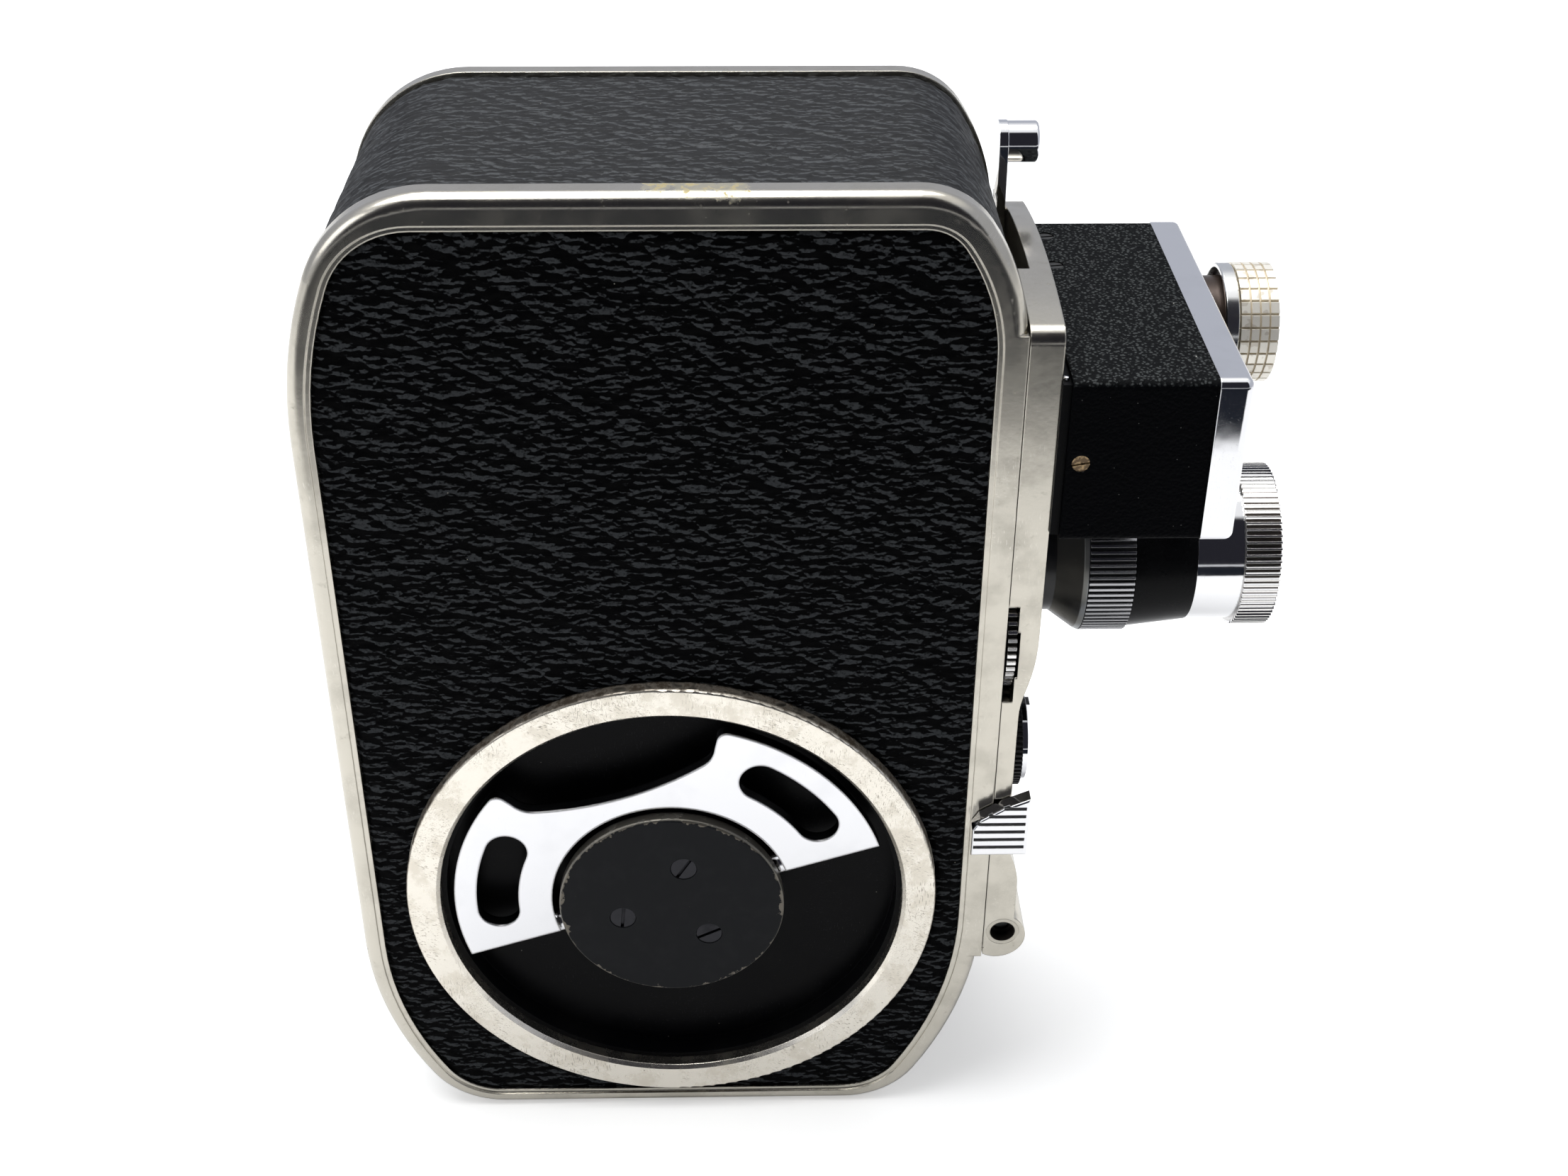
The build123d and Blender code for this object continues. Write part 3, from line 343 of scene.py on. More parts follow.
def ridged(name, node, tip, colour, worn, groove, metallic, reach):
    """Knurled rim of radius tip about X: worn bright on the ridges, darker in grooves reach mm deep."""
    f = Finish(name, colour, metallic, 0.2)
    out = f.radius(1, 2, centre_of(node))
    f.over(f.ramp(out, tip - 0.02, tip - reach), groove, 0.5)
    f.over(f.ramp(out, tip - reach, tip - 0.03), worn, 0.16, 1.0)
    f.soft_edges(0.07)
    f.bump(f.noise(0.5, 3.0), 0.004)
    return f.done()


def focus_finish():
    """Chrome sleeve and grip; the grip is dark brown in its grooves and a little brighter on its ridges."""
    f = Finish("focus_chrome", (0.90, 0.90, 0.905), 1.0, 0.07)
    f.over(f.math("MULTIPLY", f.scratches(0.04, 3.0, 0.66), 0.35), (0.7, 0.7, 0.7), 0.25)
    grip_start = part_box("focus_ring")[0][0] / MM + 5.6
    grip = f.ramp(f.axis(0), grip_start - 0.1, grip_start + 0.1)
    out = f.radius(1, 2, centre_of("focus_ring"))
    tip = outer_radius("focus_ring")
    f.over(f.math("MULTIPLY", grip, f.ramp(out, tip - 0.2, tip - 0.42)), (0.22, 0.19, 0.165), 0.35)
    f.over(f.math("MULTIPLY", grip, f.ramp(out, tip - 0.12, tip - 0.02)), (0.88, 0.86, 0.83), 0.16)
    f.soft_edges(0.06)
    f.bump(f.noise(3.0, 2.0), 0.006)
    return f.done()


def ribbed_pad():
    """Trigger: chrome, near black on the floors of the grooves, with painted shade on the rib walls that
    face up and down.
    """
    f = Finish("trigger_chrome", (0.90, 0.90, 0.91), 1.0, 0.06)
    f.over(f.math("MULTIPLY", f.scratches(0.04, 3.0, 0.66), 0.3), (0.75, 0.75, 0.76), 0.22)
    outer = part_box("trigger")[0][1] / MM
    sunk = f.ramp(f.axis(1), outer + 0.25, outer + 0.4)
    floors = f.math("MULTIPLY", sunk, f.ramp(f.facing(1), -0.5, -0.8))
    f.over(f.math("MULTIPLY", floors, 0.93), (0.045, 0.043, 0.042), 0.4, 0.4)
    # painted shade: rib walls that face up and down are painted a darker grey
    painted_shade_walls = f.ramp(f.math("ABSOLUTE", f.facing(2)), 0.6, 0.8)
    f.over(f.math("MULTIPLY", painted_shade_walls, 0.45), (0.30, 0.30, 0.31), 0.2)
    f.soft_edges(0.12)
    return f.done()


def socket_finish():
    """Cable socket: dark thread inside a bare metal edge."""
    f = Finish("socket_metal", (0.52, 0.49, 0.42), 1.0, 0.28)
    thread = 1.5
    out = f.radius(0, 2, centre_of("cable_plunger"))
    f.over(f.ramp(out, thread + 0.12, thread), (0.035, 0.030, 0.026), 0.45, 0.7)
    f.soft_edges(0.06)
    f.bump(f.noise(0.4, 3.0), 0.01)
    return f.done()


def squared_grip():
    """Finder ring: pale champagne squares, darker and browner in their gaps, and a few of the squares gone
    brown-grey.
    """
    f = Finish("squared_grip", (0.98, 0.94, 0.84), 0.55, 0.34)
    out = f.radius(1, 2, FINDER_AXIS)
    tip = outer_radius("finder_ring")
    f.over(f.math("MULTIPLY", f.ramp(out, tip - 0.12, tip - 0.26), 0.75), (0.62, 0.52, 0.36), 0.5)
    f.over(f.math("MULTIPLY", f.ramp(f.noise(1.4, 1.0), 0.60, 0.63), 0.35), (0.45, 0.37, 0.26), 0.35)
    f.soft_edges(0.08)
    f.bump(f.noise(0.8, 3.0), 0.01)
    return f.done()


def hollow_collar():
    """Finder collar: bright outside, with a painted dark reflection, brown-black, in the hollow behind."""
    f = Finish("bright_collar", (0.93, 0.93, 0.91), 1.0, 0.16)
    f.over(f.ramp(f.noise(2.0, 3.0), 0.5, 0.75), (0.82, 0.81, 0.76), 0.24)
    # painted reflection: within the hollow radius the collar is painted brown-black, standing for the dark
    # things the recess mirrors
    hollow = 6.4
    out = f.radius(1, 2, FINDER_AXIS)
    f.over(f.ramp(out, hollow + 0.05, hollow - 0.05), (0.060, 0.042, 0.034), 0.35, 0.6)
    f.soft_edges(0.1)
    return f.done()


def satin_black(name="satin_black", roughness=0.33, dust=0.7):
    """Smooth black paint with fine dust and faint rubbing."""
    f = Finish(name, (0.0020, 0.0021, 0.0026), 0.0, roughness, 0.07)
    f.over(f.ramp(f.noise(9.0, 4.0, 0.6), 0.45, 0.7), (0.0035, 0.0036, 0.004), roughness + 0.1)
    f.over(f.math("MULTIPLY", f.scratches(0.05, 4.0, 0.66), 0.35), (0.03, 0.03, 0.032), 0.3)
    f.over(f.math("MULTIPLY", f.specks(3.4, 0.09), dust), (0.22, 0.21, 0.18), 0.8)
    f.over(f.math("MULTIPLY", f.specks(1.3, 0.04), dust * 0.6), (0.16, 0.15, 0.13), 0.8)
    f.soft_edges(0.12)
    f.bump(f.noise(0.35, 3.0), 0.003)
    return f.done()


def worn_black():
    """Hub cap: dull black paint, rubbed to brass-grey metal in chips round its rim."""
    f = Finish("worn_black", (0.0085, 0.0092, 0.0105), 0.0, 0.46, 0.10)
    f.over(f.ramp(f.noise(3.0, 5.0, 0.65), 0.45, 0.7), (0.0115, 0.0122, 0.0135), 0.52)
    f.over(f.math("MULTIPLY", f.specks(1.7, 0.05), 0.5), (0.13, 0.12, 0.10), 0.8)
    out = f.radius(0, 2, WINDER_AXIS)
    uneven = f.math("MULTIPLY", f.math("SUBTRACT", f.noise(2.4, 4.0, 0.7), 0.5), 4.2)
    rim = 13.5
    chips = f.ramp(f.math("ADD", out, uneven), rim - 0.15, rim)
    f.over(f.math("MULTIPLY", chips, f.ramp(out, rim - 1.3, rim - 0.9)), (0.16, 0.145, 0.12), 0.42, 0.8)
    f.over(f.math("MULTIPLY", f.ramp(out, rim - 0.12, rim), 0.8), (0.20, 0.19, 0.165), 0.35, 0.9)
    f.soft_edges(0.12)
    f.bump(chips, -0.03)
    f.bump(f.noise(0.3, 3.0), 0.005)
    return f.done()


def black_crinkle():
    """Wrinkle paint: a tight maze of soft folds, black on the sides, with painted highlights on the crests
    of faces that look up and a faint painted lightening of those faces.
    """
    f = Finish("black_crinkle", (0.0010, 0.0012, 0.0018), 0.0, 0.6, 0.03)
    folds = f.cells(0.42, warp=1.1, warp_size=0.6)
    # painted highlight: faces that look up get light grey crests and a faint overall lightening, as if lit
    # from overhead
    painted_top_light = f.ramp(f.facing(2), 0.25, 0.9)
    crests = f.ramp(f.math("ADD", folds, f.math("MULTIPLY", f.noise(0.5, 4.0, 0.7), 0.6)), 0.80, 0.45)
    f.over(f.math("MULTIPLY", crests, f.math("MULTIPLY", painted_top_light, 0.85)), (0.085, 0.092, 0.092), 0.5)
    f.over(f.math("MULTIPLY", painted_top_light, 0.3), (0.012, 0.013, 0.013))
    f.over(f.math("MULTIPLY", f.specks(1.1, 0.07), 0.55), (0.16, 0.16, 0.155), 0.5)
    f.over(f.math("MULTIPLY", f.specks(3.2, 0.10), 0.9), (0.55, 0.54, 0.50), 0.5)
    f.soft_edges(0.6)
    f.bump(folds, -0.09)
    f.bump(f.noise(0.14, 3.0), 0.012)
    return f.done()


def leather(name, gloss):
    """Black hide: sunken black cells, each with a soft grey crescent of painted highlight on the side that
    faces the light.

    The pattern follows the sheet's own coordinates, u along and v across, in mm. A crescent lies where
    the relief drops between two places a little apart along v.
    """
    f = Finish(name, (0.0008, 0.0009, 0.0011), 0.0, 0.6, gloss)
    sheet = f.node("Attribute", attribute_name="sheet").outputs["Vector"]

    def height(shift):
        moved = f.node("VectorMath", operation="ADD")
        f.put(moved, 0, sheet)
        f.put(moved, 1, (0, shift, 0))
        f.mm = moved.outputs[0]
        pits = f.cells(1.0, (1.9, 0.84, 1), 0.75, 1.3)
        small = f.cells(1.0, (1.0, 0.42, 1), 0.7, 0.7)
        folds = f.cells(1.0, (5.0, 1.7, 1), 0.5, 2.4, (0, 0, -35))
        total = f.math("ADD", f.math("MULTIPLY", pits, 0.55), f.math("MULTIPLY", small, 0.16))
        return f.math("ADD", total, f.math("MULTIPLY", folds, 0.75)), pits

    apart = 0.11
    above, pits = height(-apart)
    below, _ = height(apart)
    f.mm = sheet
    # painted highlight: a grey crescent is painted where the relief falls away downward, as if lit from
    # above
    painted_highlight = f.ramp(f.math("SUBTRACT", above, below), 0.015, 0.10)
    painted_highlight = f.math("MULTIPLY", painted_highlight, f.ramp(pits, 0.05, 0.38))
    painted_highlight = f.math("MULTIPLY", painted_highlight, f.ramp(f.noise(0.5, 3.0, 0.6), 0.25, 0.55))
    f.over(painted_highlight, (0.040, 0.043, 0.0455), 0.5)
    f.over(f.math("MULTIPLY", f.specks(4.1, 0.07), 0.8), (0.35, 0.33, 0.28), 0.8)
    f.bump(above, 0.12)
    f.bump(f.noise(0.25, 3.0), 0.02)
    return f.done()


def machined(name, colour, roughness=0.3, dark=0.7):
    """Turned or milled metal of the inner works: fine tool marks and a little tarnish."""
    f = Finish(name, colour, 1.0, roughness)
    tarnish = tuple(c * dark for c in colour)
    f.over(f.ramp(f.noise(3.5, 4.0, 0.6), 0.45, 0.7), tarnish, roughness + 0.12)
    f.over(f.math("MULTIPLY", f.specks(1.8, 0.07), 0.6), tuple(c * 0.3 for c in colour), 0.6)
    f.soft_edges(0.08)
    f.bump(f.noise(1.0, 2.0, 0.5, (1, 0.05, 1)), 0.004)
    return f.done()


def box_screw_metal():
    """Brass screws gone brown, still bright on a few spots; those in the top of the box are black."""
    f = Finish("tarnished_brass", (0.17, 0.12, 0.075), 1.0, 0.42)
    f.over(f.ramp(f.noise(0.5, 3.0), 0.45, 0.6), (0.50, 0.36, 0.20), 0.3)
    below_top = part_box("box_housing")[1][2] / MM - 0.9
    f.over(f.ramp(f.axis(2), below_top, below_top + 0.2), (0.02, 0.02, 0.02), 0.5, 0.2)
    f.soft_edges(0.06)
    return f.done()


def black_moulding():
    """Spool of moulded black plastic."""
    f = Finish("black_plastic", (0.012, 0.012, 0.012), 0.0, 0.25, 0.5)
    f.over(f.ramp(f.noise(8.0, 3.0), 0.5, 0.7), (0.016, 0.016, 0.016), 0.36)
    f.over(f.math("MULTIPLY", f.scratches(0.06, 5.0, 0.64), 0.5), (0.05, 0.05, 0.05), 0.45)
    f.soft_edges(0.15)
    return f.done()


def dial_black():
    """Black dial with a pale ring of divisions about its own centre."""
    f = Finish("dial_black", (0.010, 0.010, 0.011), 0.0, 0.4, 0.4)
    f.over(f.ramp(f.noise(2.0, 4.0), 0.5, 0.7), (0.018, 0.018, 0.019), 0.5)
    centre = centre_of("counter_dial")
    out = f.radius(0, 2, centre)
    turn = f.math("ARCTAN2", f.axis(0, centre[0] / MM), f.axis(2, centre[2] / MM))
    divisions, inner, outer, face = 30, 5.6, 7.6, 17.0
    steps = f.math("ABSOLUTE", f.math("SINE", f.math("MULTIPLY", turn, divisions / 2)))
    band = f.math("MULTIPLY", f.ramp(out, inner, inner + 0.1), f.ramp(out, outer, outer - 0.1))
    front = f.ramp(f.axis(1), face - 1.0, face)
    marks = f.math("MULTIPLY", f.math("MULTIPLY", f.ramp(steps, 0.22, 0.16), band), front)
    f.over(marks, (0.75, 0.73, 0.68), 0.5)
    f.soft_edges(0.1)
    return f.done()


def glass(name, tint, coating):
    """Clear optical glass with a coating that tints its reflection."""
    f = Finish(name, tint, 0.0, 0.015, 0.5)
    f.put(f.surface, "Transmission Weight", 1.0)
    f.put(f.surface, "IOR", 1.52)
    f.put(f.surface, "Coat Weight", 0.6)
    f.put(f.surface, "Coat Tint", coating)
    f.put(f.surface, "Specular Tint", coating)
    f.over(f.ramp(f.noise(3.0, 3.0), 0.55, 0.8), tint, 0.05)
    return f.done()


def lens_mount_finish():
    """Black lens seat with one polished line behind the aperture ring."""
    f = Finish("lens_mount_black", (0.006, 0.006, 0.007), 0.0, 0.3, 0.4)
    f.over(f.ramp(f.noise(2.0, 4.0), 0.5, 0.7), (0.010, 0.010, 0.011), 0.42)
    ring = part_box("aperture_ring")[0][0] / MM
    starts, ends = f.ramp(f.axis(0), ring - 0.75, ring - 0.62), f.ramp(f.axis(0), ring + 0.1, ring)
    line = f.math("MULTIPLY", starts, ends)
    outer = f.ramp(f.radius(1, 2, LENS_AXIS), 9.9, 10.05)
    f.over(f.math("MULTIPLY", line, outer), (0.22, 0.23, 0.24), 0.3, 1.0)
    f.soft_edges(0.1)
    return f.done()


# old glue on the top of the rim: place and reach in mm
RESIDUE = [((4.5, -17.4, 125.7), 2.6), ((8.0, -17.8, 125.6), 2.2), ((0.8, -17.6, 125.6), 1.8)]


def paint_nodes():
    """Gives every CAD node its own finish, or the finish of its material slot."""
    by_slot = {
        "satin_aluminium": satin_aluminium(),
        "chrome": chrome(),
        "satin_black": satin_black(),
        "steel": machined("steel", (0.50, 0.50, 0.51), 0.28),
        "brass": machined("brass", (0.66, 0.47, 0.20), 0.26),
        "blued_steel": machined("blued_steel", (0.055, 0.058, 0.065), 0.38),
        "dial_black": dial_black(),
    }
    finishes = {
        "mechanism_cover": satin_aluminium("rim_aluminium", RESIDUE),
        "winder_ring": champagne_metal(),
        # the key's edges get a painted dark reflection
        "winding_key": chrome("key_chrome", 0.45, 0.75),
        "box_bezel": chrome("bezel_chrome", 0.2),
        "focus_ring": focus_finish(),
        "finder_ring": squared_grip(),
        "aperture_ring": ridged("aperture_knurl", "aperture_ring", 10.5, (0.02, 0.02, 0.022),
                                (0.42, 0.42, 0.43), (0.008, 0.008, 0.009), 0.2, 0.2),
        "speed_wheel": ridged("speed_knurl", "speed_wheel", 7.6, (0.75, 0.74, 0.72),
                              (0.86, 0.85, 0.83), (0.05, 0.045, 0.04), 1.0, 0.3),
        "lens_mount": lens_mount_finish(),
        "trigger": ribbed_pad(),
        "cable_socket": socket_finish(),
        "cable_plunger": machined("plunger_steel", (0.26, 0.27, 0.26), 0.3),
        "box_housing": black_crinkle(),
        "key_hub_cap": worn_black(),
        "hub_cap_screws": machined("dark_screws", (0.038, 0.038, 0.042), 0.42),
        "box_screws": box_screw_metal(),
        "finder_collar": hollow_collar(),
        "take_up_spool": black_moulding(),
        "counter_window": glass("window", (0.95, 0.97, 0.97), (1.0, 1.0, 1.0)),
        "finder_glass": glass("finder_glass", (0.93, 0.96, 0.97), (0.8, 0.75, 1.0)),
        "finder_prism": glass("prism_glass", (0.95, 0.97, 0.96), (1.0, 1.0, 1.0)),
        "lens_glass": glass("lens_glass", (0.85, 0.90, 0.95), (0.55, 0.45, 1.0)),
        "lens_barrel": satin_black("lens_black", 0.2, 0.3),
    }
    slots = {part["node"]: part["material_slot"] for part in frame["record"]["subparts"]}
    for name, node in NODES.items():
        material = finishes.get(name) or by_slot.get(slots[name], by_slot["satin_black"])
        for held in node.material_slots:
            held.link = "OBJECT"
            held.material = material


# ---------------------------------------------------------------- leather coverings
def hashed(i, j, salt):
    """A fixed scatter of numbers from 0 to 1, one to each pair of whole numbers."""
    n = (i * 374761393 + j * 668265263 + salt * 974634777) & 0xFFFFFFFF
    n = ((n ^ (n >> 13)) * 1274126177) & 0xFFFFFFFF
    return ((n ^ (n >> 16)) & 0xFFFF) / 65535.0


def smooth(t):
    """0 below 0, 1 above 1, smooth between."""
    t = np.clip(t, 0, 1)
    return t * t * (3 - 2 * t)


def wander(u, v, salt):
    """Smooth random field from -1 to 1 with features about one unit long."""
    i, j = np.floor(u).astype(np.int64), np.floor(v).astype(np.int64)
    fu, fv = smooth(u - i), smooth(v - j)
    low = hashed(i, j, salt) * (1 - fu) + hashed(i + 1, j, salt) * fu
    high = hashed(i, j + 1, salt) * (1 - fu) + hashed(i + 1, j + 1, salt) * fu
    return 2 * (low * (1 - fv) + high * fv) - 1


def borders(u, v, salt):
    """Gap between the nearest and second nearest of scattered points: 0 on the border of two cells."""
    i0, j0 = np.floor(u).astype(np.int64), np.floor(v).astype(np.int64)
    near = np.full(u.shape, 9.0)
    second = near.copy()
    for di in (-1, 0, 1):
        for dj in (-1, 0, 1):
            i, j = i0 + di, j0 + dj
            d = np.hypot(i + hashed(i, j, salt) - u, j + hashed(i, j, salt + 1) - v)
            second = np.minimum(second, np.maximum(near, d))
            near = np.minimum(near, d)
    return second - near


GRAIN_LONG, GRAIN_SHORT = 2.7, 1.05      # mm, a pebble's length along u and height along v
GRAIN_DEPTH = 0.2                        # mm


def grain(u, v):
    """Relief of crushed leather from 0 in the creases to 1, over u and v in mm."""
    bend_u = 0.5 * wander(u / 2.6, v / 1.6, 11)
    bend_v = 0.55 * wander(u / 3.2, v / 2.2, 23) + 0.8 * wander(u / 11, v / 9, 31)
    large = smooth(borders(u / GRAIN_LONG + bend_u, v / GRAIN_SHORT + bend_v, 5) / 0.5)
    small = smooth(borders(u / 1.25 + 2 * bend_v, v / 0.55 + bend_u, 47) / 0.5)
    return 0.72 * large + 0.28 * small * (0.4 + 0.6 * large)


def mesh_piece(name, points, faces, sheet, material):
    """An object from numpy points, square faces and the sheet coordinates that the leather reads."""
    mesh = bpy.data.meshes.new(name)
    mesh.vertices.add(len(points))
    mesh.vertices.foreach_set("co", np.ascontiguousarray(points, np.float32).ravel())
    mesh.loops.add(faces.size)
    mesh.loops.foreach_set("vertex_index", faces.astype(np.int32).ravel())
    mesh.polygons.add(len(faces))
    mesh.polygons.foreach_set("loop_start", np.arange(0, faces.size, 4, dtype=np.int32))
    mesh.update(calc_edges=True)
    mesh.validate()
    attribute = mesh.attributes.new("sheet", "FLOAT_VECTOR", "POINT")
    attribute.data.foreach_set("vector", np.ascontiguousarray(sheet, np.float32).ravel())
    mesh.shade_smooth()
    mesh.materials.append(material)
    return placed(name, mesh)


def cover(piece, node):
    """Makes a hide ride with the flat leather shell of the CAD model and stand for it."""
    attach(piece, NODES[node]["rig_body"])
    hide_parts(node)


def outline_segments(node, axis, level):
    """Border of the flat face of a node that lies at level along axis, as pairs of points."""
    mesh = NODES[node].data
    points = np.array([v.co for v in mesh.vertices])
    keys = [tuple(k) for k in np.round(points * 1e6).astype(int)]
    counts = {}
    for face in mesh.polygons:
        corners = list(face.vertices)
        if all(abs(points[c][axis] - level) < 1e-5 for c in corners):
            for a, b in zip(corners, corners[1:] + corners[:1]):
                edge = frozenset((keys[a], keys[b]))
                counts.setdefault(edge, []).append((points[a], points[b]))
    return np.array([pairs[0] for pairs in counts.values() if len(pairs) == 1])


def nearest_on(segments, points):
    """For 2-D points, the nearest place on the segments, the distance to it, and whether it is inside."""
    best = np.full(len(points), 1e9)
    place = points.copy()
    inside = np.zeros(len(points), bool)
    for (ax, az), (bx, bz) in segments:
        dx, dz = bx - ax, bz - az
        along = np.clip(((points[:, 0] - ax) * dx + (points[:, 1] - az) * dz) / (dx * dx + dz * dz), 0, 1)
        qx, qz = ax + along * dx, az + along * dz
        away = np.hypot(points[:, 0] - qx, points[:, 1] - qz)
        closer = away < best
        best[closer] = away[closer]
        place[closer] = np.stack([qx, qz], 1)[closer]
        crosses = (az > points[:, 1]) != (bz > points[:, 1])
        if dz:
            inside ^= crosses & (points[:, 0] < ax + dx * (points[:, 1] - az) / dz)
    return place, best, inside


def square_faces(rows, columns, keep):
    """Faces of a grid, numbered row by row, where all four corners are kept."""
    i, j = np.meshgrid(np.arange(rows - 1), np.arange(columns - 1), indexing="ij")
    a = (i * columns + j).ravel()
    faces = np.stack([a, a + 1, a + columns + 1, a + columns], 1)
    return faces[keep[faces].all(1)]


def rim_edges(faces):
    """Edges of a set of square faces that only one face has, as pairs of point numbers."""
    edges = np.sort(np.concatenate([faces[:, [k, (k + 1) % 4]] for k in range(4)]), 1)
    found, counts = np.unique(edges, axis=0, return_counts=True)
    return found[counts == 1]


def with_skirt(points, faces, sheet, drop):
    """Closes the open border with a narrow wall that goes down by the vector drop at each point."""
    border = rim_edges(faces)
    ends, back = np.unique(border, return_inverse=True)
    low = len(points) + back.reshape(border.shape)
    wall = np.stack([border[:, 0], border[:, 1], low[:, 1], low[:, 0]], 1)
    points = np.concatenate([points, points[ends] + drop[ends]])
    return points, np.concatenate([faces, wall]), np.concatenate([sheet, sheet[ends]])


def only_used(points, faces, sheet, *others):
    """Drops the points that no face has, from points, sheet and the others alike."""
    used, back = np.unique(faces, return_inverse=True)
    return (points[used], back.reshape(faces.shape), sheet[used], *[o[used] for o in others])


EDGE_ROLL, ROLL_WIDTH = 0.22, 0.7        # mm, how far a sheet's border is pressed down, over what width
FLANK_SKIRT, BAND_SKIRT = 0.2, 0.25      # mm, height of the wall that closes a sheet's border


def side_leather(node, name, side, material):
    """Grained hide on one flank in place of a flat panel; side is -1 or 1 along Y."""
    low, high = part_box(node)
    level = low[1] if side < 0 else high[1]
    segments = outline_segments(node, 1, level)[:, :, [0, 2]] / MM
    step_u, step_v = 0.5, 0.4
    us = np.arange(low[0] / MM, high[0] / MM + step_u, step_u)
    vs = np.arange(low[2] / MM, high[2] / MM + step_v, step_v)
    v, u = np.meshgrid(vs, us, indexing="ij")
    flat = np.stack([u.ravel(), v.ravel()], 1)
    place, away, inside = nearest_on(segments, flat)
    faces = square_faces(len(vs), len(us), inside)
    border = np.unique(rim_edges(faces))
    flat[border] = place[border]
    away[border] = 0.0
    relief = grain(flat[:, 0] * side, flat[:, 1])
    height = (relief - 0.75) * GRAIN_DEPTH - EDGE_ROLL * (1 - smooth(away / ROLL_WIDTH))
    points = np.stack([flat[:, 0], level / MM + side * height, flat[:, 1]], 1) * MM
    sheet = np.stack([flat[:, 0], flat[:, 1], np.zeros(len(flat))], 1)
    points, faces, sheet = only_used(points, faces, sheet)
    drop = np.zeros_like(points)
    drop[:, 1] = -side * FLANK_SKIRT * MM
    points, faces, sheet = with_skirt(points, faces, sheet, drop)
    if side > 0:
        faces = faces[:, ::-1]
    cover(mesh_piece(name, points, faces, sheet, material), node)


def band_line(node):
    """Outer line of the leather band in (x, z), followed round from its lower to its upper front end.

    Rays from outside towards the middle, a quarter of a degree apart, find the band beside the bush.
    """
    mesh = NODES[node].data
    tree = BVHTree.FromPolygons([v.co for v in mesh.vertices], [list(f.vertices) for f in mesh.polygons])
    low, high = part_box(node)
    middle = (low + high) / 2
    beside = high[1] * 0.85
    far = 0.3
    found = []
    for k in range(1440):
        angle = math.radians(-k / 4)
        ray = Vector((math.cos(angle), 0, math.sin(angle)))
        start = Vector((middle[0], beside, middle[2])) + ray * far
        hit = tree.ray_cast(start, -ray)[0]
        if hit is not None and (hit - start).length < far:
            found.append((hit[0], hit[2]))
    line = np.array(found) / MM
    return line, low[1] / MM, high[1] / MM


def band_leather(material):
    """Grained hide round the camera's edge, cut out for the eyepiece and the tripod bush."""
    line, side_low, side_high = band_line("leather_band")
    lengths = np.concatenate([[0], np.cumsum(np.hypot(*np.diff(line, axis=0).T))])
    step_u, step_v = 0.6, 0.5
    u = np.linspace(0, lengths[-1], int(lengths[-1] / step_u))
    x, z = np.interp(u, lengths, line[:, 0]), np.interp(u, lengths, line[:, 1])
    reach = 3
    ahead = np.clip(np.arange(len(u)) + reach, 0, len(u) - 1)
    behind = np.clip(np.arange(len(u)) - reach, 0, None)
    tangent = np.stack([x[ahead] - x[behind], z[ahead] - z[behind]], 1)
    tangent /= np.linalg.norm(tangent, axis=1)[:, None]
    outward = np.stack([-tangent[:, 1], tangent[:, 0]], 1)
    vs = np.linspace(side_low, side_high, int((side_high - side_low) / step_v))
    row_u, row_v = np.meshgrid(u, vs, indexing="ij")
    count = len(vs)
    base = np.stack([np.repeat(x, count), row_v.ravel(), np.repeat(z, count)], 1)
    out_x, out_z = np.repeat(outward, count, axis=0).T
    out = np.stack([out_x, np.zeros(len(base)), out_z], 1)
    eye = np.array(EYEPIECE_AXIS) / MM
    bush = centre_of("tripod_bush") / MM
    to_eye = np.hypot(base[:, 1] - eye[1], base[:, 2] - eye[2])
    to_bush = np.hypot(base[:, 0] - bush[0], base[:, 1] - bush[1])
    eye_radius, bush_radius = 7.05, 6.5  # mm
    at_eye = (base[:, 0] < line[:, 0].min() + 8) & (to_eye < eye_radius + 1)
    at_bush = (base[:, 2] < 3) & (to_bush < bush_radius + 1)
    keep = ~(at_eye & (to_eye < eye_radius)) & ~(at_bush & (to_bush < bush_radius))
    faces = square_faces(len(u), count, keep)
    border = np.zeros(len(base), bool)
    border[np.unique(rim_edges(faces))] = True
    for chosen, away, middle, radius, axes in (
        (border & at_eye, to_eye, eye, eye_radius, [1, 2]),
        (border & at_bush, to_bush, bush, bush_radius, [0, 1]),
    ):
        spoke = (base[chosen][:, axes] - np.array(middle)[axes]) / away[chosen][:, None]
        moved = base[chosen]
        moved[:, axes] = np.array(middle)[axes] + spoke * radius
        base[chosen] = moved
    edge = np.minimum.reduce([
        row_u.ravel(), lengths[-1] - row_u.ravel(), row_v.ravel() - side_low, side_high - row_v.ravel(),
        np.where(at_eye, to_eye - eye_radius, 9.0), np.where(at_bush, to_bush - bush_radius, 9.0),
    ])
    relief = grain(row_u.ravel() + 300, row_v.ravel() + 70)
    height = (relief - 0.9) * GRAIN_DEPTH * 0.8 - EDGE_ROLL * (1 - smooth(edge / ROLL_WIDTH))
    points = (base + out * height[:, None]) * MM
    sheet = np.stack([row_u.ravel(), row_v.ravel(), np.full(row_u.size, 40.0)], 1)
    points, faces, sheet, out = only_used(points, faces, sheet, out)
    points, faces, sheet = with_skirt(points, faces, sheet, -out * BAND_SKIRT * MM)
    cover(mesh_piece("band_hide", points, faces, sheet, material), "leather_band")


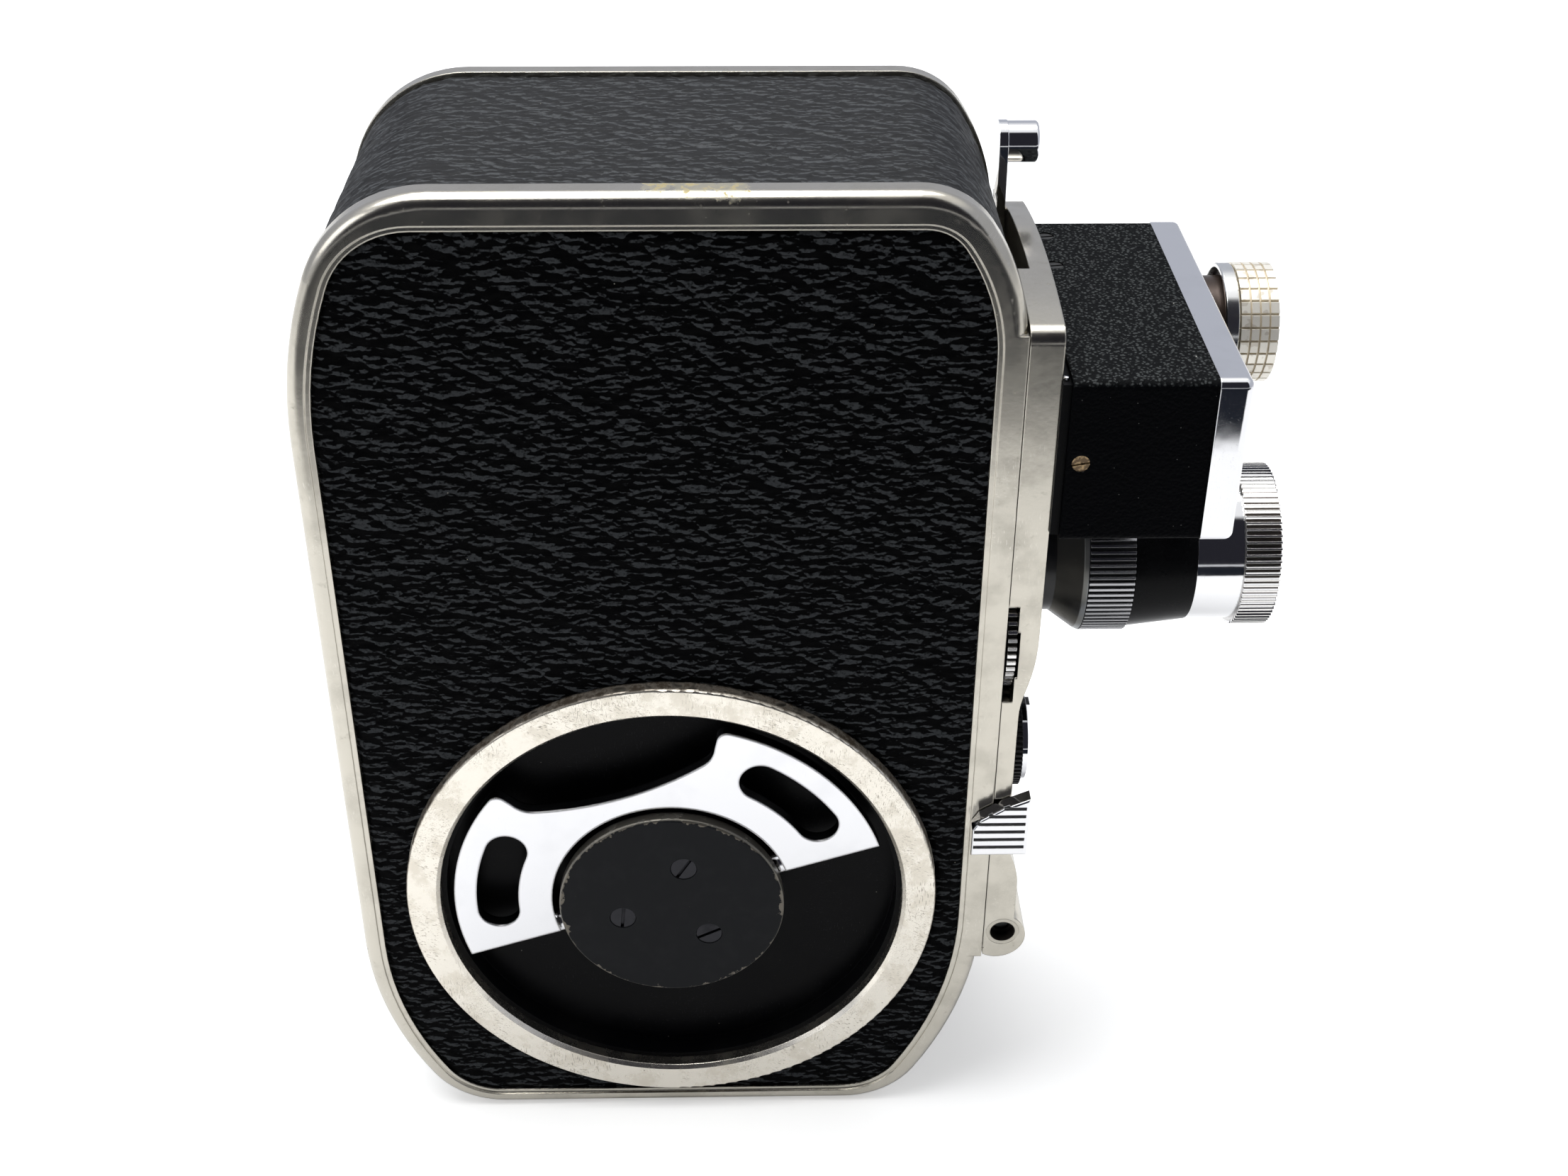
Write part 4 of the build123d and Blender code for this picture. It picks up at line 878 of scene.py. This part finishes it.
# ---------------------------------------------------------------- small visible details
def lathe(name, profile, place, direction, material, steps=48):
    """A turned piece: profile is (distance along direction, radius) in mm from place."""
    mesh = bpy.data.meshes.new(name)
    shape = bmesh.new()
    rings = []
    for along, radius in profile:
        ring = []
        for k in range(steps):
            angle = 2 * math.pi * k / steps
            point = Vector((radius * math.cos(angle), radius * math.sin(angle), along))
            ring.append(shape.verts.new(point * MM))
        rings.append(ring)
    for lower, upper in zip(rings, rings[1:]):
        for k in range(steps):
            shape.faces.new((lower[k], lower[(k + 1) % steps], upper[(k + 1) % steps], upper[k]))
    shape.faces.new(rings[0][::-1])
    shape.faces.new(rings[-1])
    turn = Vector(direction).to_track_quat("Z", "Y").to_matrix().to_4x4()
    bmesh.ops.transform(shape, matrix=Matrix.Translation(place) @ turn, verts=shape.verts)
    bmesh.ops.recalc_face_normals(shape, faces=shape.faces)
    shape.to_mesh(mesh)
    shape.free()
    mesh.shade_smooth()
    mesh.materials.append(material)
    return placed(name, mesh)


def corner_pin(material):
    """Bright pin in the gap between the front plate and the box."""
    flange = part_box("box_flange")
    place = Vector(((flange[0][0] + flange[1][0]) / 2, flange[0][1] + 1.3 * MM, flange[1][2]))
    profile = [(-0.5, 0.34), (0.25, 0.34), (0.35, 0.26)]
    piece = lathe("corner_pin", profile, place, (0, 0, 1), material)
    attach(piece, "camera_body")


# ---------------------------------------------------------------- studio
def flat_sheet(name, low, high, level, material):
    """Level sheet of the set, between two corners."""
    mesh = bpy.data.meshes.new(name)
    (x0, y0), (x1, y1) = low, high
    corners = [(x0, y0), (x1, y0), (x1, y1), (x0, y1)]
    mesh.from_pydata([(x, y, level) for x, y in corners], [], [(0, 1, 2, 3)])
    mesh.materials.append(material)
    sheet = placed(name, mesh)
    return sheet


def floor():
    """Plain white table."""
    f = Finish("white_table", (0.88, 0.88, 0.875), 0.0, 0.7, 0.2)
    f.over(f.ramp(f.noise(60.0, 3.0), 0.4, 0.7), (0.90, 0.90, 0.895), 0.65)
    seen = f.node("LightPath").outputs["Is Camera Ray"]
    f.put(f.surface, "Emission Color", (1, 0.995, 0.98))
    f.put(f.surface, "Emission Strength", f.math("MULTIPLY", seen, 0.42))
    flat_sheet("floor", (-3, -3), (3, 3), -0.0002, f.done())


def shade_card():
    """The dim end of the table in front of the camera: it shows in the polished parts only."""
    f = Finish("dim_table", (0.02, 0.015, 0.012), 0.0, 0.9, 0.0)
    clear = f.node("BsdfTransparent")
    dark = f.node("Emission")
    f.put(dark, "Color", (0.012, 0.014, 0.020))
    f.put(dark, "Strength", 1.0)
    both = f.node("MixShader")
    f.put(both, 0, f.ramp(f.axis(1), -194.0, -206.0))
    f.put(both, 1, clear.outputs[0])
    f.put(both, 2, dark.outputs[0])
    f.put(f.output, "Surface", both.outputs[0])
    card = flat_sheet("shade_card", (-0.6, -0.9), (0.6, -0.12), 0.001, f.material)
    card.visible_camera = False
    card.visible_diffuse = False
    card.visible_shadow = False
    card.visible_transmission = False


def room():
    """Soft white room: bright overhead, pale blue-grey behind, dim where the photographer stands."""
    world = bpy.data.worlds.new("room")
    bpy.context.scene.world = world
    world.use_nodes = True
    g = Graph(world.node_tree)
    where = g.node("TexCoord").outputs["Generated"]
    x, y, z = (g.part(where, index) for index in range(3))
    colour = g.mix(g.ramp(z, 0.55, 0.85), (0.46, 0.48, 0.54), (0.90, 0.91, 0.93))
    # the photographer: a dim figure in front, up to about 70 degrees above the horizon
    front = g.math("MULTIPLY", y, -1.0)
    steepness = g.math("ARCTAN2", z, front)
    breadth = g.math("DIVIDE", g.math("ABSOLUTE", x), g.math("MAXIMUM", front, 0.05))
    figure = g.math("MULTIPLY", g.ramp(steepness, 1.30, 1.15), g.ramp(breadth, 1.25, 0.85))
    colour = g.mix(g.math("MULTIPLY", figure, g.ramp(y, 0.0, -0.1)), colour, (0.018, 0.018, 0.024))
    colour = g.mix(g.node("LightPath").outputs["Is Camera Ray"], colour, (0.98, 0.98, 0.98))
    background = g.node("Background")
    g.put(background, 0, colour)
    g.put(g.node("OutputWorld"), 0, background.outputs[0])


def lamp(name, place, target, size, watts):
    """White rectangular lamp that shines from place towards target."""
    light = bpy.data.lights.new(name, "AREA")
    light.shape = "RECTANGLE"
    light.size, light.size_y = size
    light.energy = watts
    made = placed(name, light)
    made.location = place
    made.rotation_mode = "QUATERNION"
    made.rotation_quaternion = (Vector(target) - Vector(place)).to_track_quat("-Z", "Y")


def lights():
    """A large soft lamp overhead and a weak one from the side."""
    lamp("overhead", (-0.12, 0.10, 0.95), (0, 0, 0.05), (0.9, 0.6), 9.0)
    lamp("side_fill", (-0.75, -0.35, 0.45), (0, 0, 0.06), (0.4, 0.5), 1.1)


EYE = (9.3, -200.5, 197.7)               # mm
DOWN, ASIDE, ROLL = 33.0, 1.30, 0.284    # degrees
LENS_MM = 45.23                          # for a 36 mm wide picture


def camera():
    """A hand-held viewpoint close in front of the winder side, looking down."""
    down, aside, roll = (math.radians(a) for a in (DOWN, ASIDE, ROLL))
    level = Vector((math.sin(aside), math.cos(aside), 0))
    forward = level * math.cos(down) - Vector((0, 0, math.sin(down)))
    right = forward.cross(Vector((0, 0, 1))).normalized()
    up = right.cross(forward)
    right, up = right * math.cos(roll) + up * math.sin(roll), up * math.cos(roll) - right * math.sin(roll)
    data = bpy.data.cameras.new("camera")
    data.sensor_width = 36
    data.lens = LENS_MM
    data.clip_start, data.clip_end = 0.01, 20
    made = placed("camera", data)
    turn = Matrix((right, up, -forward)).transposed().to_4x4()
    made.matrix_world = Matrix.Translation(Vector(EYE) * MM) @ turn
    bpy.context.scene.camera = made


paint_nodes()
hide = leather("leather", 0.03)
side_leather("mechanism_cover_leather", "winder_side_hide", -1, hide)
side_leather("film_door_leather", "door_side_hide", 1, hide)
band_leather(leather("band_leather", 0.3))
corner_pin(chrome("pin_chrome"))
floor()
shade_card()
room()
lights()
camera()
bpy.context.scene.view_settings.view_transform = "Standard"
